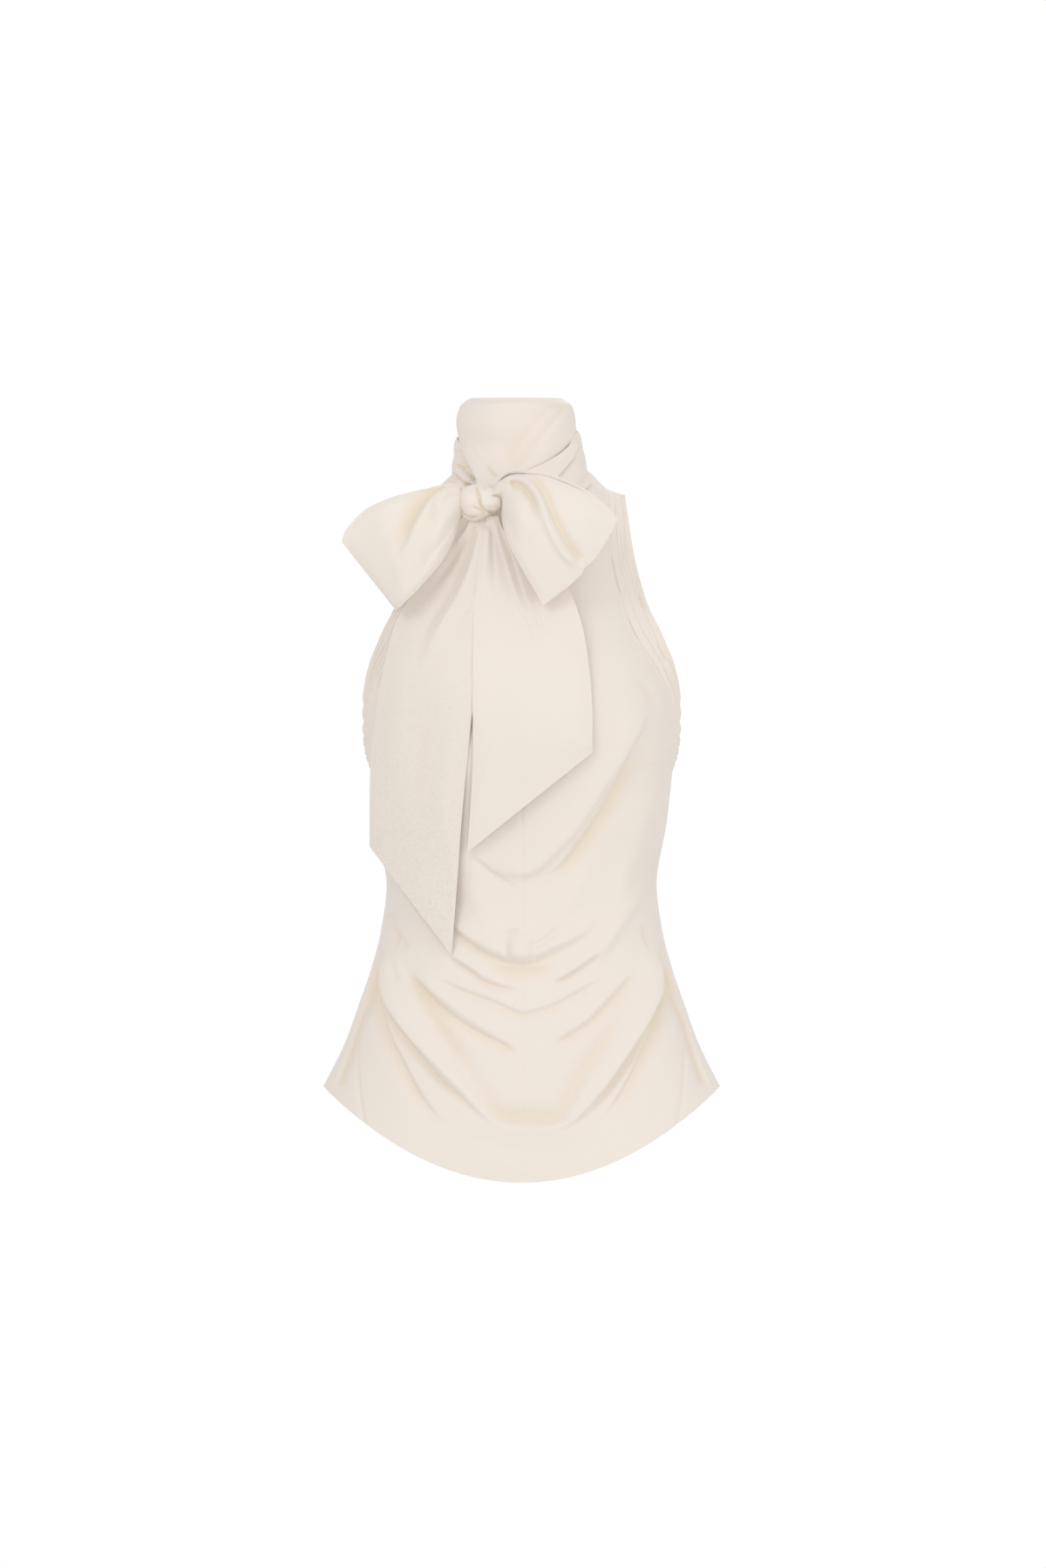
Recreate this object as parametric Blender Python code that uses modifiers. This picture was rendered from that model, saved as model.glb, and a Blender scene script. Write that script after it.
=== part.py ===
"""Sleeveless tie-neck blouse in its worn, filled-out shape, with no wearer inside.

The front faces -Y, +Z is up, and the origin is the middle of the neck base at shoulder level.
Tables are in millimetres; every mesh is written in metres.
"""

import math
from collections import namedtuple

import bpy

MM = 0.001

# Driving sizes
CLOTH = 1.2              # wall of a body panel
TIE_CLOTH = 1.2          # wall of the loops and tails
BAND_CLOTH = 1.6         # wall of the armhole band, which is layered
COLLAR_CLOTH = 1.6       # wall of the folded collar
SEAM_GAP = 0.3           # room left between two pieces that are sewn together
SIDE_GAP = 1.4           # the same at the outer face of a seam whose walls lean together
SHOULDER_GAP = 2.0
BAND_GAP = 1.0
HALF_HEM = 172.5         # centre to side seam at the hem
HALF_WAIST = 120.6       # centre to side seam at the waist
BUST_DEPTH = 122.0       # centre line to the fullest part of the front
COLLAR_TOP = 86.0        # top fold of the collar above the shoulder
HEM_MID = -615.0         # lowest point of the curved hem
SECTION_POWER = 2.3      # roundness of a body section: 2 is an ellipse

# Panel divisions
FRONT_ACROSS, BACK_ACROSS = 14, 8
COLLAR_ROUND = 28
COLLAR_DROP = 4.0        # how much lower the top fold is at the sides
WRAP_ROUND, WRAP_UP = 30, 4
LOOP_LONG, LOOP_WIDE = 8, 8
TAIL_LONG, TAIL_WIDE = 13, 8

Ring = namedtuple("Ring", "mid edge half front_y front_depth back_y back_depth")
# Body sections from the chest to the hem. mid and edge are heights at the centre and at the
# panel's outer edge: the armhole down to the underarm row, then the side seam.
RINGS = [
    Ring(-45, -36, 77.5, -44, 72, 52, 78),
    Ring(-70, -61, 80.0, -52, 83, 60, 85),
    Ring(-95, -85, 85.5, -58, 93, 66, 90),
    Ring(-115, -105, 92.0, -61, 102, 69, 94),
    Ring(-135, -125, 100.0, -62, 110, 70, 97),
    Ring(-150, -140, 110.0, -61, 115, 69, 98),
    Ring(-165, -155, 119.5, -58, 119, 66, 99),
    Ring(-190, -180, 132.0, -48, BUST_DEPTH, 57, 100),
    Ring(-215, -207, 137.0, -33, BUST_DEPTH, 44, 100),
    Ring(-240, -235, 137.0, -12, 119, 24, 99),
    Ring(-256, -250, 134.5, 5, 116, 5, 98),
    Ring(-300, -296, 129.3, 1, 107, 1, 92),
    Ring(-350, -345, HALF_WAIST, -5, 98, -5, 86),
    Ring(-395, -387, 124.7, -11, 99, -11, 89),
    Ring(-440, -425, 133.5, -18, 104, -18, 96),
    Ring(-485, -462, 144.9, -25, 111, -25, 105),
    Ring(-530, -490, 153.4, -30, 116, -30, 111),
    Ring(-575, -514, 163.0, -34, 121, -34, 117),
    Ring(HEM_MID, -536, HALF_HEM, -38, 126, -38, 122),
]
UNDERARM = 10

# Neck seam and shoulder seam, the top edge of the front and back panels
NECK_HALF, NECK_FRONT, NECK_BACK = 56.0, -54.0, 57.0
NECK_FRONT_Z, NECK_SIDE_Z, NECK_BACK_Z = 4.0, 24.0, 28.0
SHOULDER_Y = 3.0
SHOULDER_X, SHOULDER_Z = 77.5, 4.0
NECK_SHARE = 0.55        # part of the top edge that is neck seam

Bust = namedtuple("Bust", "x z wide high depth")
BUST = Bust(68, -172, 45, 55, 4)

Fold = namedtuple("Fold", "lift width path")
# Draped swags of the front as (x, z) paths; lift is outward, negative for a trough.
SWAGS = [
    Fold(4.0, 11, [(-39, -319), (-22, -335), (-3, -343), (27, -337), (47, -317), (64, -289),
                   (89, -244), (112, -192)]),
    Fold(5.0, 13, [(-75, -368), (-59, -386), (-36, -400), (0, -408), (22, -403), (47, -391),
                   (64, -375), (76, -355)]),
    Fold(-5.0, 9, [(-59, -403), (-36, -419), (-16, -427), (0, -430), (22, -426), (47, -413),
                   (64, -400), (79, -378), (87, -358)]),
    Fold(4.5, 11, [(-84, -432), (-61, -443), (-36, -453), (4, -465), (39, -453), (64, -438),
                   (79, -430)]),
    Fold(-3.5, 10, [(-99, -431), (-86, -449), (-69, -466), (-46, -481), (-6, -500), (27, -497),
                    (44, -486), (64, -468), (89, -446), (99, -431)]),
    Fold(6.0, 17, [(-123, -434), (-114, -468), (-94, -499), (-66, -526), (-26, -553), (8, -560),
                   (54, -548), (74, -522), (97, -493), (116, -464), (124, -439), (115, -405)]),
    Fold(-4.0, 9, [(-134, -431), (-128, -456), (-119, -486), (-103, -514), (-86, -541),
                   (-69, -564), (-56, -577)]),
    Fold(-4.0, 9, [(131, -421), (127, -451), (117, -481), (104, -509), (89, -534), (72, -556)]),
]

Band = namedtuple("Band", "x y z")
# Free edge of the armhole band, one row for each panel row from the shoulder to the underarm.
BAND_TOP = Band(92.0, SHOULDER_Y, -1.0)
BAND_FRONT = [
    Band(97.5, -33, -38), Band(101.3, -40, -62), Band(108.0, -44, -88), Band(114.5, -46, -104),
    Band(123.5, -47, -122), Band(130.0, -46, -138), Band(135.5, -43, -151),
    Band(140.5, -32, -172), Band(141.5, -17, -194), Band(141.0, -3, -214),
    Band(139.5, 5, -226),
]
BAND_BACK = [
    Band(96.5, 40, -38), Band(100.5, 48, -62), Band(107.0, 52, -88), Band(113.5, 54, -104),
    Band(122.5, 55, -122), Band(129.5, 54, -138), Band(135.0, 51, -151),
    Band(140.0, 42, -172), Band(141.3, 28, -194), Band(141.0, 14, -214),
    Band(139.5, 5, -226),
]

Stand = namedtuple("Stand", "share wide front back lean")
# Collar sections from the neck seam to the top fold
STAND = [
    Stand(0.0, 54.2, -53.2, 55.5, 0.0),
    Stand(0.3, 52.0, -52.5, 53.0, -2.0),
    Stand(0.65, 52.0, -52.5, 52.5, -5.0),
    Stand(0.845, 49.8, -50.2, 50.2, -5.3),
    Stand(0.94, 46.5, -47.0, 47.0, -5.3),
    Stand(1.0, 41.0, -41.5, 41.5, -5.3),
]

Wrap = namedtuple("Wrap", "angle low_r low_z high_r high_z")
# The tie round the neck: angle runs from the front over the right side and the back.
WRAPS = [
    Wrap(-22, 66.0, 8.5, 60.0, 17.0),
    Wrap(0, 65.0, 10.0, 58.0, 22.0),
    Wrap(20, 63.0, 13.0, 57.0, 31.0),
    Wrap(45, 61.0, 20.0, 57.5, 44.0),
    Wrap(68, 60.5, 27.5, 57.5, 55.0),
    Wrap(90, 60.5, 29.5, 57.5, 56.0),
    Wrap(135, 61.5, 33.0, 58.5, 58.0),
    Wrap(180, 62.0, 34.5, 59.5, 59.0),
    Wrap(225, 61.5, 33.0, 60.5, 57.0),
    Wrap(270, 60.5, 29.5, 60.5, 52.0),
    Wrap(290, 61.5, 25.0, 60.0, 44.0),
    Wrap(305, 63.5, 16.0, 60.0, 34.0),
    Wrap(318, 66.0, 9.5, 61.0, 20.0),
]

# Knot: a short barrel of cloth lying across the front
KNOT_MID = (-37.0, -90.0, -9.0)
KNOT_HALF_LENGTH = 15.5
KNOT_HALF_DEPTH, KNOT_HALF_HEIGHT = 16.0, 15.5
KNOT_END_SHARE = 0.8

Span = namedtuple("Span", "top_x top_z low_x low_z back_y puff")
# Bow loops from the knot to the outer fold: upper and lower edge, rear layer and its puff
LEFT_LOOP = [
    Span(-46, -4, -46, -14, -85, 8),
    Span(-54, -2, -54, -17, -85, 9),
    Span(-60, 7, -58, -34, -92, 14),
    Span(-85, 3, -72, -63, -102, 20),
    Span(-108, -2.5, -90, -84, -106, 21),
    Span(-126, -9, -101, -95, -106, 18),
    Span(-139, -16, -107, -101, -104, 13),
    Span(-156, -33, -111, -104, -102, 7),
    Span(-160.3, -44.6, -112, -105, -101, 2.6),
]
RIGHT_LOOP = [
    Span(-28, -4, -28, -14, -85, 8),
    Span(-20, -2, -20, -17, -86, 9),
    Span(-12, 13, -18, -18, -93, 13),
    Span(3, 16, -16, -32, -103, 18),
    Span(20, 15.5, -12, -45, -110, 21),
    Span(38, 8.5, -5, -58, -113, 21),
    Span(57, -1, 4, -75, -116, 17),
    Span(74, -13, 13, -90, -118, 9),
    Span(86, -24, 19, -101, -118, 2.6),
]
LOOP_BOW = {"bow_loop_left": 0.0, "bow_loop_right": 8.0}

Edge = namedtuple("Edge", "left_x left_z right_x right_z")
LEFT_TAIL = [
    Edge(-46, -28, -31.5, -28), Edge(-58, -45, -36.5, -48), Edge(-84, -75, -41.5, -80),
    Edge(-108, -108, -44, -115), Edge(-123, -150, -44.5, -155), Edge(-131, -195, -45, -195),
    Edge(-135, -242, -49, -240), Edge(-136, -285, -54, -292), Edge(-136, -303, -58, -340),
    Edge(-136, -316, -62.6, -413),
]
RIGHT_TAIL = [
    Edge(-30.5, -28, -20, -28), Edge(-35.5, -48, -3, -45), Edge(-40.5, -80, 32, -72),
    Edge(-43, -115, 52, -112), Edge(-43.5, -155, 60, -155), Edge(-43.5, -195, 63, -195),
    Edge(-43.5, -235, 63, -218), Edge(-45.5, -278, 63, -226), Edge(-48.5, -321, 63, -232),
]

Hang = namedtuple("Hang", "z depth")
HANGS = [Hang(-28, 90), Hang(-50, 93), Hang(-80, 102), Hang(-110, 113), Hang(-150, 128),
         Hang(-175, 133), Hang(-215, 133), Hang(-260, 128), Hang(-300, 121), Hang(-340, 115),
         Hang(-420, 107)]
TAIL_CURVE, TAIL_REACH, TAIL_POWER = 0.9, 180.0, 2.6

Ripple = namedtuple("Ripple", "across lift width start")
TAIL_RIPPLES = {
    "tail_left": [Ripple(0.22, 2.5, 0.10, 0.0), Ripple(0.55, 4.0, 0.09, 0.0),
                  Ripple(0.8, 2.5, 0.08, 0.0)],
    "tail_right": [Ripple(0.3, 2.5, 0.08, 0.0), Ripple(0.52, 4.5, 0.09, 0.0),
                   Ripple(0.78, 2.5, 0.08, 0.0)],
}

COLOURS = {
    "body": (0.80, 0.72, 0.62, 1.0),
    "trim": (0.78, 0.69, 0.59, 1.0),
    "tie": (0.84, 0.77, 0.68, 1.0),
}


def lerp(a, b, t):
    return a + (b - a) * t


def lerp3(a, b, t):
    return tuple(lerp(p, q, t) for p, q in zip(a, b))


def soft(t):
    t = min(1.0, max(0.0, t))
    return t * t * (3.0 - 2.0 * t)


def between(rows, place):
    """A smooth row at a fractional place in a table."""
    last = len(rows) - 1
    i = min(int(place), last - 1)
    t = place - i
    before, a, b, after = rows[max(i - 1, 0)], rows[i], rows[i + 1], rows[min(i + 2, last)]
    values = []
    for p, q, r, s in zip(before, a, b, after):
        values.append(q + 0.5 * t * (r - p + t * (2 * p - 5 * q + 4 * r - s
                                                 + t * (3 * (q - r) + s - p))))
    return type(a)(*values)


def place_of(rows, column, value):
    """The fractional place where a rising or falling column reaches a value."""
    keys = [getattr(row, column) for row in rows]
    rising = keys[-1] > keys[0]
    for i in range(len(keys) - 1):
        low, high = sorted((keys[i], keys[i + 1]))
        if low <= value <= high:
            return i + (value - keys[i]) / (keys[i + 1] - keys[i])
    return 0.0 if (value < keys[0]) == rising else len(keys) - 1.0


def section(half, edge_y, depth, u):
    """A point on a rounded body section, from the centre (u=0) to the panel edge (u=1)."""
    back = depth > 0
    reach = -edge_y if not back else edge_y
    ratio = reach / abs(depth)
    turn = math.copysign(abs(ratio) ** (SECTION_POWER / 2), ratio)
    end = math.acos(max(-1.0, min(1.0, turn)))
    widest = half / math.sin(end) ** (2 / SECTION_POWER)
    angle = end * u
    x = widest * math.sin(angle) ** (2 / SECTION_POWER) if u > 0 else 0.0
    cosine = math.cos(angle)
    y = depth * math.copysign(abs(cosine) ** (2 / SECTION_POWER), cosine)
    return x, y


def reach_of(path, x, z):
    """Distance from a point to a path."""
    best = 1e9
    for (ax, az), (bx, bz) in zip(path, path[1:]):
        dx, dz = bx - ax, bz - az
        t = max(0.0, min(1.0, ((x - ax) * dx + (z - az) * dz) / (dx * dx + dz * dz)))
        best = min(best, math.hypot(x - ax - t * dx, z - az - t * dz))
    return best


def swag_lift(x, z):
    return sum(f.lift * math.exp(-(reach_of(f.path, x, z) / f.width) ** 2) for f in SWAGS)


def top_edge(u, back):
    """Neck seam then shoulder seam, from the centre to the armhole."""
    if u <= NECK_SHARE:
        turn = u / NECK_SHARE * math.pi / 2
        far = NECK_BACK if back else NECK_FRONT
        mid_z = NECK_BACK_Z if back else NECK_FRONT_Z
        return (NECK_HALF * math.sin(turn), lerp(SHOULDER_Y, far, math.cos(turn)),
                lerp(mid_z, NECK_SIDE_Z, math.sin(turn) ** 2))
    t = (u - NECK_SHARE) / (1 - NECK_SHARE)
    return (lerp(NECK_HALF, SHOULDER_X, t), SHOULDER_Y, lerp(NECK_SIDE_Z, SHOULDER_Z, t))


def ring_point(place, u, back):
    ring = between(RINGS, place)
    if back:
        x, y = section(ring.half, ring.back_y, ring.back_depth, u)
    else:
        x, y = section(ring.half, ring.front_y, -ring.front_depth, u)
    z = lerp(ring.mid, ring.edge, (x / ring.half) ** 2)
    if not back:
        y -= BUST.depth * math.exp(-((x - BUST.x) / BUST.wide) ** 2
                                   - ((z - BUST.z) / BUST.high) ** 2)
    return x, y, z


def body_point(place, u, side, back):
    """A point of the body; place runs from -1 at the top edge to the last ring at the hem."""
    if place >= 0:
        x, y, z = ring_point(place, u, back)
    else:
        top, low = top_edge(u, back), ring_point(0.0, u, back)
        over = soft(u / NECK_SHARE)
        bend = (lerp(top[0], low[0], 0.5), lerp(top[1], low[1], lerp(0.5, 0.72, over)),
                lerp(top[2], low[2], lerp(0.5, 0.12, over)))
        t = place + 1
        x, y, z = lerp3(lerp3(top, bend, t), lerp3(bend, low, t), t)
    x *= side
    if not back and z < -150:
        lift = swag_lift(x, z)
        length = math.hypot(x / 160, y / 120)
        hold = soft((1.0 - u) / 0.12)
        x, y = x + lift * hold * (x / 160) / length, y + lift * hold * (y / 120) / length
    return x, y, z


def panel(side, back, across, places):
    """Grid of one body panel from its centre line to its outer edge."""
    grid = []
    for place in places:
        row = []
        for i in range(across + 1):
            x, y, z = body_point(place, i / across, side, back)
            if i == 0 and not back:
                x = side * SEAM_GAP / 2
            apart = SHOULDER_GAP if place == places[0] else SIDE_GAP if i == across else 0.0
            y += apart / 2 if back else -apart / 2
            row.append((x, y, z))
        grid.append(row)
    return grid


def new_collection(name, parent):
    made = bpy.data.collections.new(name)
    parent.children.link(made)
    return made


def cloth_material(name, colour, rough):
    made = bpy.data.materials.new(name)
    made.use_nodes = True
    shader = made.node_tree.nodes["Principled BSDF"]
    shader.inputs["Base Color"].default_value = colour
    shader.inputs["Roughness"].default_value = rough
    shader.inputs["Sheen Weight"].default_value = 0.2
    return made


def sheet(name, collection, grid, material, wall, closed=False, flip=False):
    """One cloth piece: an open grid given its wall by Solidify, inward from the grid."""
    rows, columns = len(grid), len(grid[0])
    points = [tuple(MM * value for value in point) for row in grid for point in row]
    faces = []
    for j in range(rows - 1):
        for i in range(columns if closed else columns - 1):
            k = (i + 1) % columns
            face = (j * columns + i, (j + 1) * columns + i, (j + 1) * columns + k,
                    j * columns + k)
            faces.append(face[::-1] if flip else face)
    mesh = bpy.data.meshes.new(name)
    mesh.from_pydata(points, [], faces)
    mesh.update()
    mesh.materials.append(material)
    made = bpy.data.objects.new(name, mesh)
    collection.objects.link(made)
    shell = made.modifiers.new("cloth wall", "SOLIDIFY")
    shell.thickness = wall * MM
    shell.offset = -1.0
    shell.use_rim = True
    return made


ARMHOLE_PLACES = [-1.0, -0.66, -0.33] + [float(i) for i in range(UNDERARM + 1)]


def places_below(step):
    """The armhole rows, then rows every step down to the hem."""
    count = round((len(RINGS) - 1 - UNDERARM) / step)
    return ARMHOLE_PLACES + [UNDERARM + step * (j + 1) for j in range(count)]


def back_grid():
    left = panel(-1, True, BACK_ACROSS, places_below(1.0))
    right = panel(1, True, BACK_ACROSS, places_below(1.0))
    return [row_left[::-1] + row_right[1:] for row_left, row_right in zip(left, right)]


def band_grid(side):
    """Armhole band as a closed ring: rows run from the panel seam to the free edge."""
    inner, outer = [], []
    for back, rows, places in ((False, BAND_FRONT, ARMHOLE_PLACES),
                               (True, BAND_BACK, ARMHOLE_PLACES[-2:0:-1])):
        for place in places:
            inner.append(body_point(place, 1.0, 1, back))
            outer.append(tuple(between([BAND_TOP] + rows, place + 1)))
    rows = []
    for share in (0.0, 0.34, 0.67, 1.0):
        row = []
        for a, b in zip(inner, outer):
            length = math.dist(a, b)
            t = lerp(BAND_GAP / length, 1.0, share)
            x, y, z = lerp3(a, b, t)
            row.append((side * x, y, z))
        rows.append(row)
    return rows


def collar_grid():
    grid = []
    for part in STAND:
        row = []
        for i in range(COLLAR_ROUND):
            turn = 2 * math.pi * i / COLLAR_ROUND
            s, c = math.sin(turn), math.cos(turn)
            far, low = (part.front, NECK_FRONT_Z) if c > 0 else (part.back, NECK_BACK_Z)
            low = lerp(low, NECK_SIDE_Z, s * s) + 2 * SEAM_GAP
            drop = COLLAR_DROP * max(0.0, (abs(s) - 0.6) / 0.4) ** 1.7
            z = lerp(low, COLLAR_TOP - drop, part.share)
            y = far * abs(c) + SHOULDER_Y * (1 - abs(c)) * (1 - part.share)
            row.append((part.wide * s + part.lean, y, z))
        grid.append(row)
    return grid


def wrap_grid():
    grid = []
    for j in range(WRAP_UP + 1):
        up = j / WRAP_UP
        row = []
        for i in range(WRAP_ROUND + 1):
            part = between(WRAPS, i * (len(WRAPS) - 1) / WRAP_ROUND)
            turn = math.radians(part.angle)
            radius = lerp(part.low_r, part.high_r, up) + 2.0 * math.sin(math.pi * up)
            lean = lerp(-1.0, -4.0, up)
            row.append((radius * math.sin(turn) + lean, -radius * math.cos(turn),
                        lerp(part.low_z, part.high_z, up)))
        grid.append(row)
    return grid


def knot_grid():
    x0, y0, z0 = KNOT_MID
    grid = []
    for j in range(6):
        t = 2 * j / 5 - 1
        size = lerp(1.0, KNOT_END_SHARE, t * t)
        row = []
        for i in range(16):
            turn = 2 * math.pi * i / 16
            row.append((x0 + t * KNOT_HALF_LENGTH, y0 - size * KNOT_HALF_DEPTH * math.cos(turn),
                        z0 + size * KNOT_HALF_HEIGHT * math.sin(turn)))
        grid.append(row)
    return grid


def loop_grid(spans, bow):
    """Bow loop: out from the knot in front, round the outer fold and back behind."""
    grid = []
    last = len(spans) - 1
    steps = [last * i / LOOP_LONG for i in range(LOOP_LONG + 1)]
    for layer, places in (("front", steps), ("rear", steps[::-1])):
        for place in places:
            span = between(spans, place)
            row = []
            for i in range(LOOP_WIDE + 1):
                w = i / LOOP_WIDE
                x, z = lerp(span.top_x, span.low_x, w), lerp(span.top_z, span.low_z, w)
                out = bow * math.sin(math.pi * w) * (place / last) ** 2
                x, z = x + 0.75 * out, z - 0.65 * out
                y = span.back_y - 4.0 * w * soft(place / last)
                if layer == "front":
                    y -= span.puff * lerp(1.0, math.sin(math.pi * (0.15 + 0.7 * w)), 0.4)
                    y -= 2.2 * math.sin(5 * math.pi * w) * soft(1.6 * (1 - place / last))
                row.append((x, y, z))
            grid.append(row)
    return grid


def tail_grid(edges, ripples):
    grid = []
    last = len(edges) - 1
    for j in range(TAIL_LONG + 1):
        place = last * j / TAIL_LONG
        edge = between(edges, place)
        row = []
        for i in range(TAIL_WIDE + 1):
            w = i / TAIL_WIDE
            x, z = lerp(edge.left_x, edge.right_x, w), lerp(edge.left_z, edge.right_z, w)
            depth = between(HANGS, place_of(HANGS, "z", z)).depth
            y = -depth * (1 - TAIL_CURVE * (abs(x) / TAIL_REACH) ** TAIL_POWER)
            fade = soft(3 * j / TAIL_LONG) * (1 - 0.7 * j / TAIL_LONG)
            for ripple in ripples:
                y -= ripple.lift * fade * math.exp(-((w - ripple.across) / ripple.width) ** 2)
            row.append((x, y, z))
        grid.append(row)
    return grid


def main():
    for old in list(bpy.data.objects):
        bpy.data.objects.remove(old)
    blouse = new_collection("blouse", bpy.context.scene.collection)
    body = cloth_material("ivory_body_cloth", COLOURS["body"], 0.62)
    trim = cloth_material("ivory_trim_cloth", COLOURS["trim"], 0.6)
    tie = cloth_material("ivory_tie_cloth", COLOURS["tie"], 0.5)

    fronts = places_below(0.5)
    sheet("front_left", blouse, panel(-1, False, FRONT_ACROSS, fronts), body, CLOTH, flip=True)
    sheet("front_right", blouse, panel(1, False, FRONT_ACROSS, fronts), body, CLOTH)
    sheet("back", blouse, back_grid(), body, CLOTH, flip=True)
    sheet("armhole_band_left", blouse, band_grid(-1), trim, BAND_CLOTH, closed=True)
    sheet("armhole_band_right", blouse, band_grid(1), trim, BAND_CLOTH, closed=True, flip=True)
    sheet("collar", blouse, collar_grid(), trim, COLLAR_CLOTH, closed=True, flip=True)
    sheet("neck_wrap", blouse, wrap_grid(), tie, TIE_CLOTH, flip=True)
    sheet("knot", blouse, knot_grid(), tie, TIE_CLOTH, closed=True)
    sheet("bow_loop_left", blouse, loop_grid(LEFT_LOOP, LOOP_BOW["bow_loop_left"]), tie,
          TIE_CLOTH)
    sheet("bow_loop_right", blouse, loop_grid(RIGHT_LOOP, LOOP_BOW["bow_loop_right"]), tie,
          TIE_CLOTH, flip=True)
    sheet("tail_left", blouse, tail_grid(LEFT_TAIL, TAIL_RIPPLES["tail_left"]), tie, TIE_CLOTH)
    sheet("tail_right", blouse, tail_grid(RIGHT_TAIL, TAIL_RIPPLES["tail_right"]), tie, TIE_CLOTH)


main()
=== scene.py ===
"""Sleeveless tie-neck blouse: the cloth, its creases and finish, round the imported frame.

Tables and shape functions are in millimetres, with the front facing -Y and +Z up.
Meshes are written in metres.
"""

import math
from collections import namedtuple

import bmesh
import bpy
import numpy as np
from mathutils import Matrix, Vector


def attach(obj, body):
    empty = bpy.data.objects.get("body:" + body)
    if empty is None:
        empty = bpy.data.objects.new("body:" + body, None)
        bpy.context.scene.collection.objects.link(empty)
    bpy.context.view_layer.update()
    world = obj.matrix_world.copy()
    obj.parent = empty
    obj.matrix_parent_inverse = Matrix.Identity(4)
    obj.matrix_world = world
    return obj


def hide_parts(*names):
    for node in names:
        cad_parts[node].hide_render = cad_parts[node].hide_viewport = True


bl_info = {
    "name": "Tie-neck blouse",
    "version": (1, 0, 0),
    "blender": (4, 5, 0),
    "location": "View3D > Sidebar > Blouse",
    "description": "Builds a draped sleeveless blouse with a bow at the neck",
    "category": "Add Mesh",
}

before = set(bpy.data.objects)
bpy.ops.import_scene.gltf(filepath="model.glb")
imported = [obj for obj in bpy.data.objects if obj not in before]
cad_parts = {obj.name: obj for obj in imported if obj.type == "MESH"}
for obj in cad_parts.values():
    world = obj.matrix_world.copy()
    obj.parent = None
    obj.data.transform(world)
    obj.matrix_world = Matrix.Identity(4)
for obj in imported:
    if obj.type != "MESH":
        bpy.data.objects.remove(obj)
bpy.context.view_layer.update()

MM = 0.001

# ---- sizes shared with the frame

Ring = namedtuple("Ring", "mid edge half front_y front_depth back_y back_depth")
RINGS = [
    Ring(-45, -36, 77.5, -44, 72, 52, 78),
    Ring(-70, -61, 80, -52, 83, 60, 85),
    Ring(-95, -85, 85.5, -58, 93, 66, 90),
    Ring(-115, -105, 92, -61, 102, 69, 94),
    Ring(-135, -125, 100, -62, 110, 70, 97),
    Ring(-150, -140, 110, -61, 115, 69, 98),
    Ring(-165, -155, 119.5, -58, 119, 66, 99),
    Ring(-190, -180, 132, -48, 122, 57, 100),
    Ring(-215, -207, 137, -33, 122, 44, 100),
    Ring(-240, -235, 137, -12, 119, 24, 99),
    Ring(-256, -250, 134.5, 5, 116, 5, 98),
    Ring(-300, -296, 129.3, 1, 107, 1, 92),
    Ring(-350, -345, 120.6, -5, 98, -5, 86),
    Ring(-395, -387, 124.7, -11, 99, -11, 89),
    Ring(-440, -425, 133.5, -18, 104, -18, 96),
    Ring(-485, -462, 144.9, -25, 111, -25, 105),
    Ring(-530, -490, 153.4, -30, 116, -30, 111),
    Ring(-575, -514, 163, -34, 121, -34, 117),
    Ring(-615, -536, 172.5, -38, 126, -38, 122),
]
SECTION_POWER = 2.3
NECK_HALF, NECK_FRONT, NECK_BACK = 56.0, -54.0, 57.0
NECK_FRONT_Z, NECK_SIDE_Z, NECK_BACK_Z = 4.0, 24.0, 28.0
SHOULDER_Y, SHOULDER_X, SHOULDER_Z = 3.0, 77.5, 4.0
NECK_SHARE = 0.55
BUST_X, BUST_Z, BUST_WIDE, BUST_HIGH, BUST_OUT = 68, -172, 45, 55, 4

Free = namedtuple("Free", "x y z")
BAND_TOP = Free(92.0, SHOULDER_Y, -1.0)
BAND_FRONT = [
    Free(97.5, -33, -38), Free(101.3, -40, -62), Free(108, -44, -88), Free(114.5, -46, -104),
    Free(123.5, -47, -122), Free(130, -46, -138), Free(135.5, -43, -151),
    Free(140.5, -32, -172), Free(141.5, -17, -194), Free(141, -3, -214), Free(139.5, 5, -226),
]
BAND_BACK = [
    Free(96.5, 40, -38), Free(100.5, 48, -62), Free(107, 52, -88), Free(113.5, 54, -104),
    Free(122.5, 55, -122), Free(129.5, 54, -138), Free(135, 51, -151), Free(140, 42, -172),
    Free(141.3, 28, -194), Free(141, 14, -214), Free(139.5, 5, -226),
]

Stand = namedtuple("Stand", "share wide front back lean")
STAND = [
    Stand(0, 54.2, -53.2, 55.5, 0),
    Stand(0.3, 52, -52.5, 53, -2),
    Stand(0.65, 52, -52.5, 52.5, -5),
    Stand(0.845, 49.8, -50.2, 50.2, -5.3),
    Stand(0.94, 46.5, -47, 47, -5.3),
    Stand(1, 41, -41.5, 41.5, -5.3),
]
COLLAR_TOP, COLLAR_DROP = 86.0, 4.0

Hang = namedtuple("Hang", "z depth")
HANGS = [Hang(-28, 90), Hang(-50, 93), Hang(-80, 102), Hang(-110, 113), Hang(-150, 128),
         Hang(-175, 133), Hang(-215, 133), Hang(-260, 128), Hang(-300, 121),
         Hang(-340, 115), Hang(-420, 107)]
TAIL_CURVE, TAIL_REACH, TAIL_POWER = 0.9, 180.0, 2.6

# ---- creases

Crease = namedtuple("Crease", "lift above below ends path")
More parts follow.
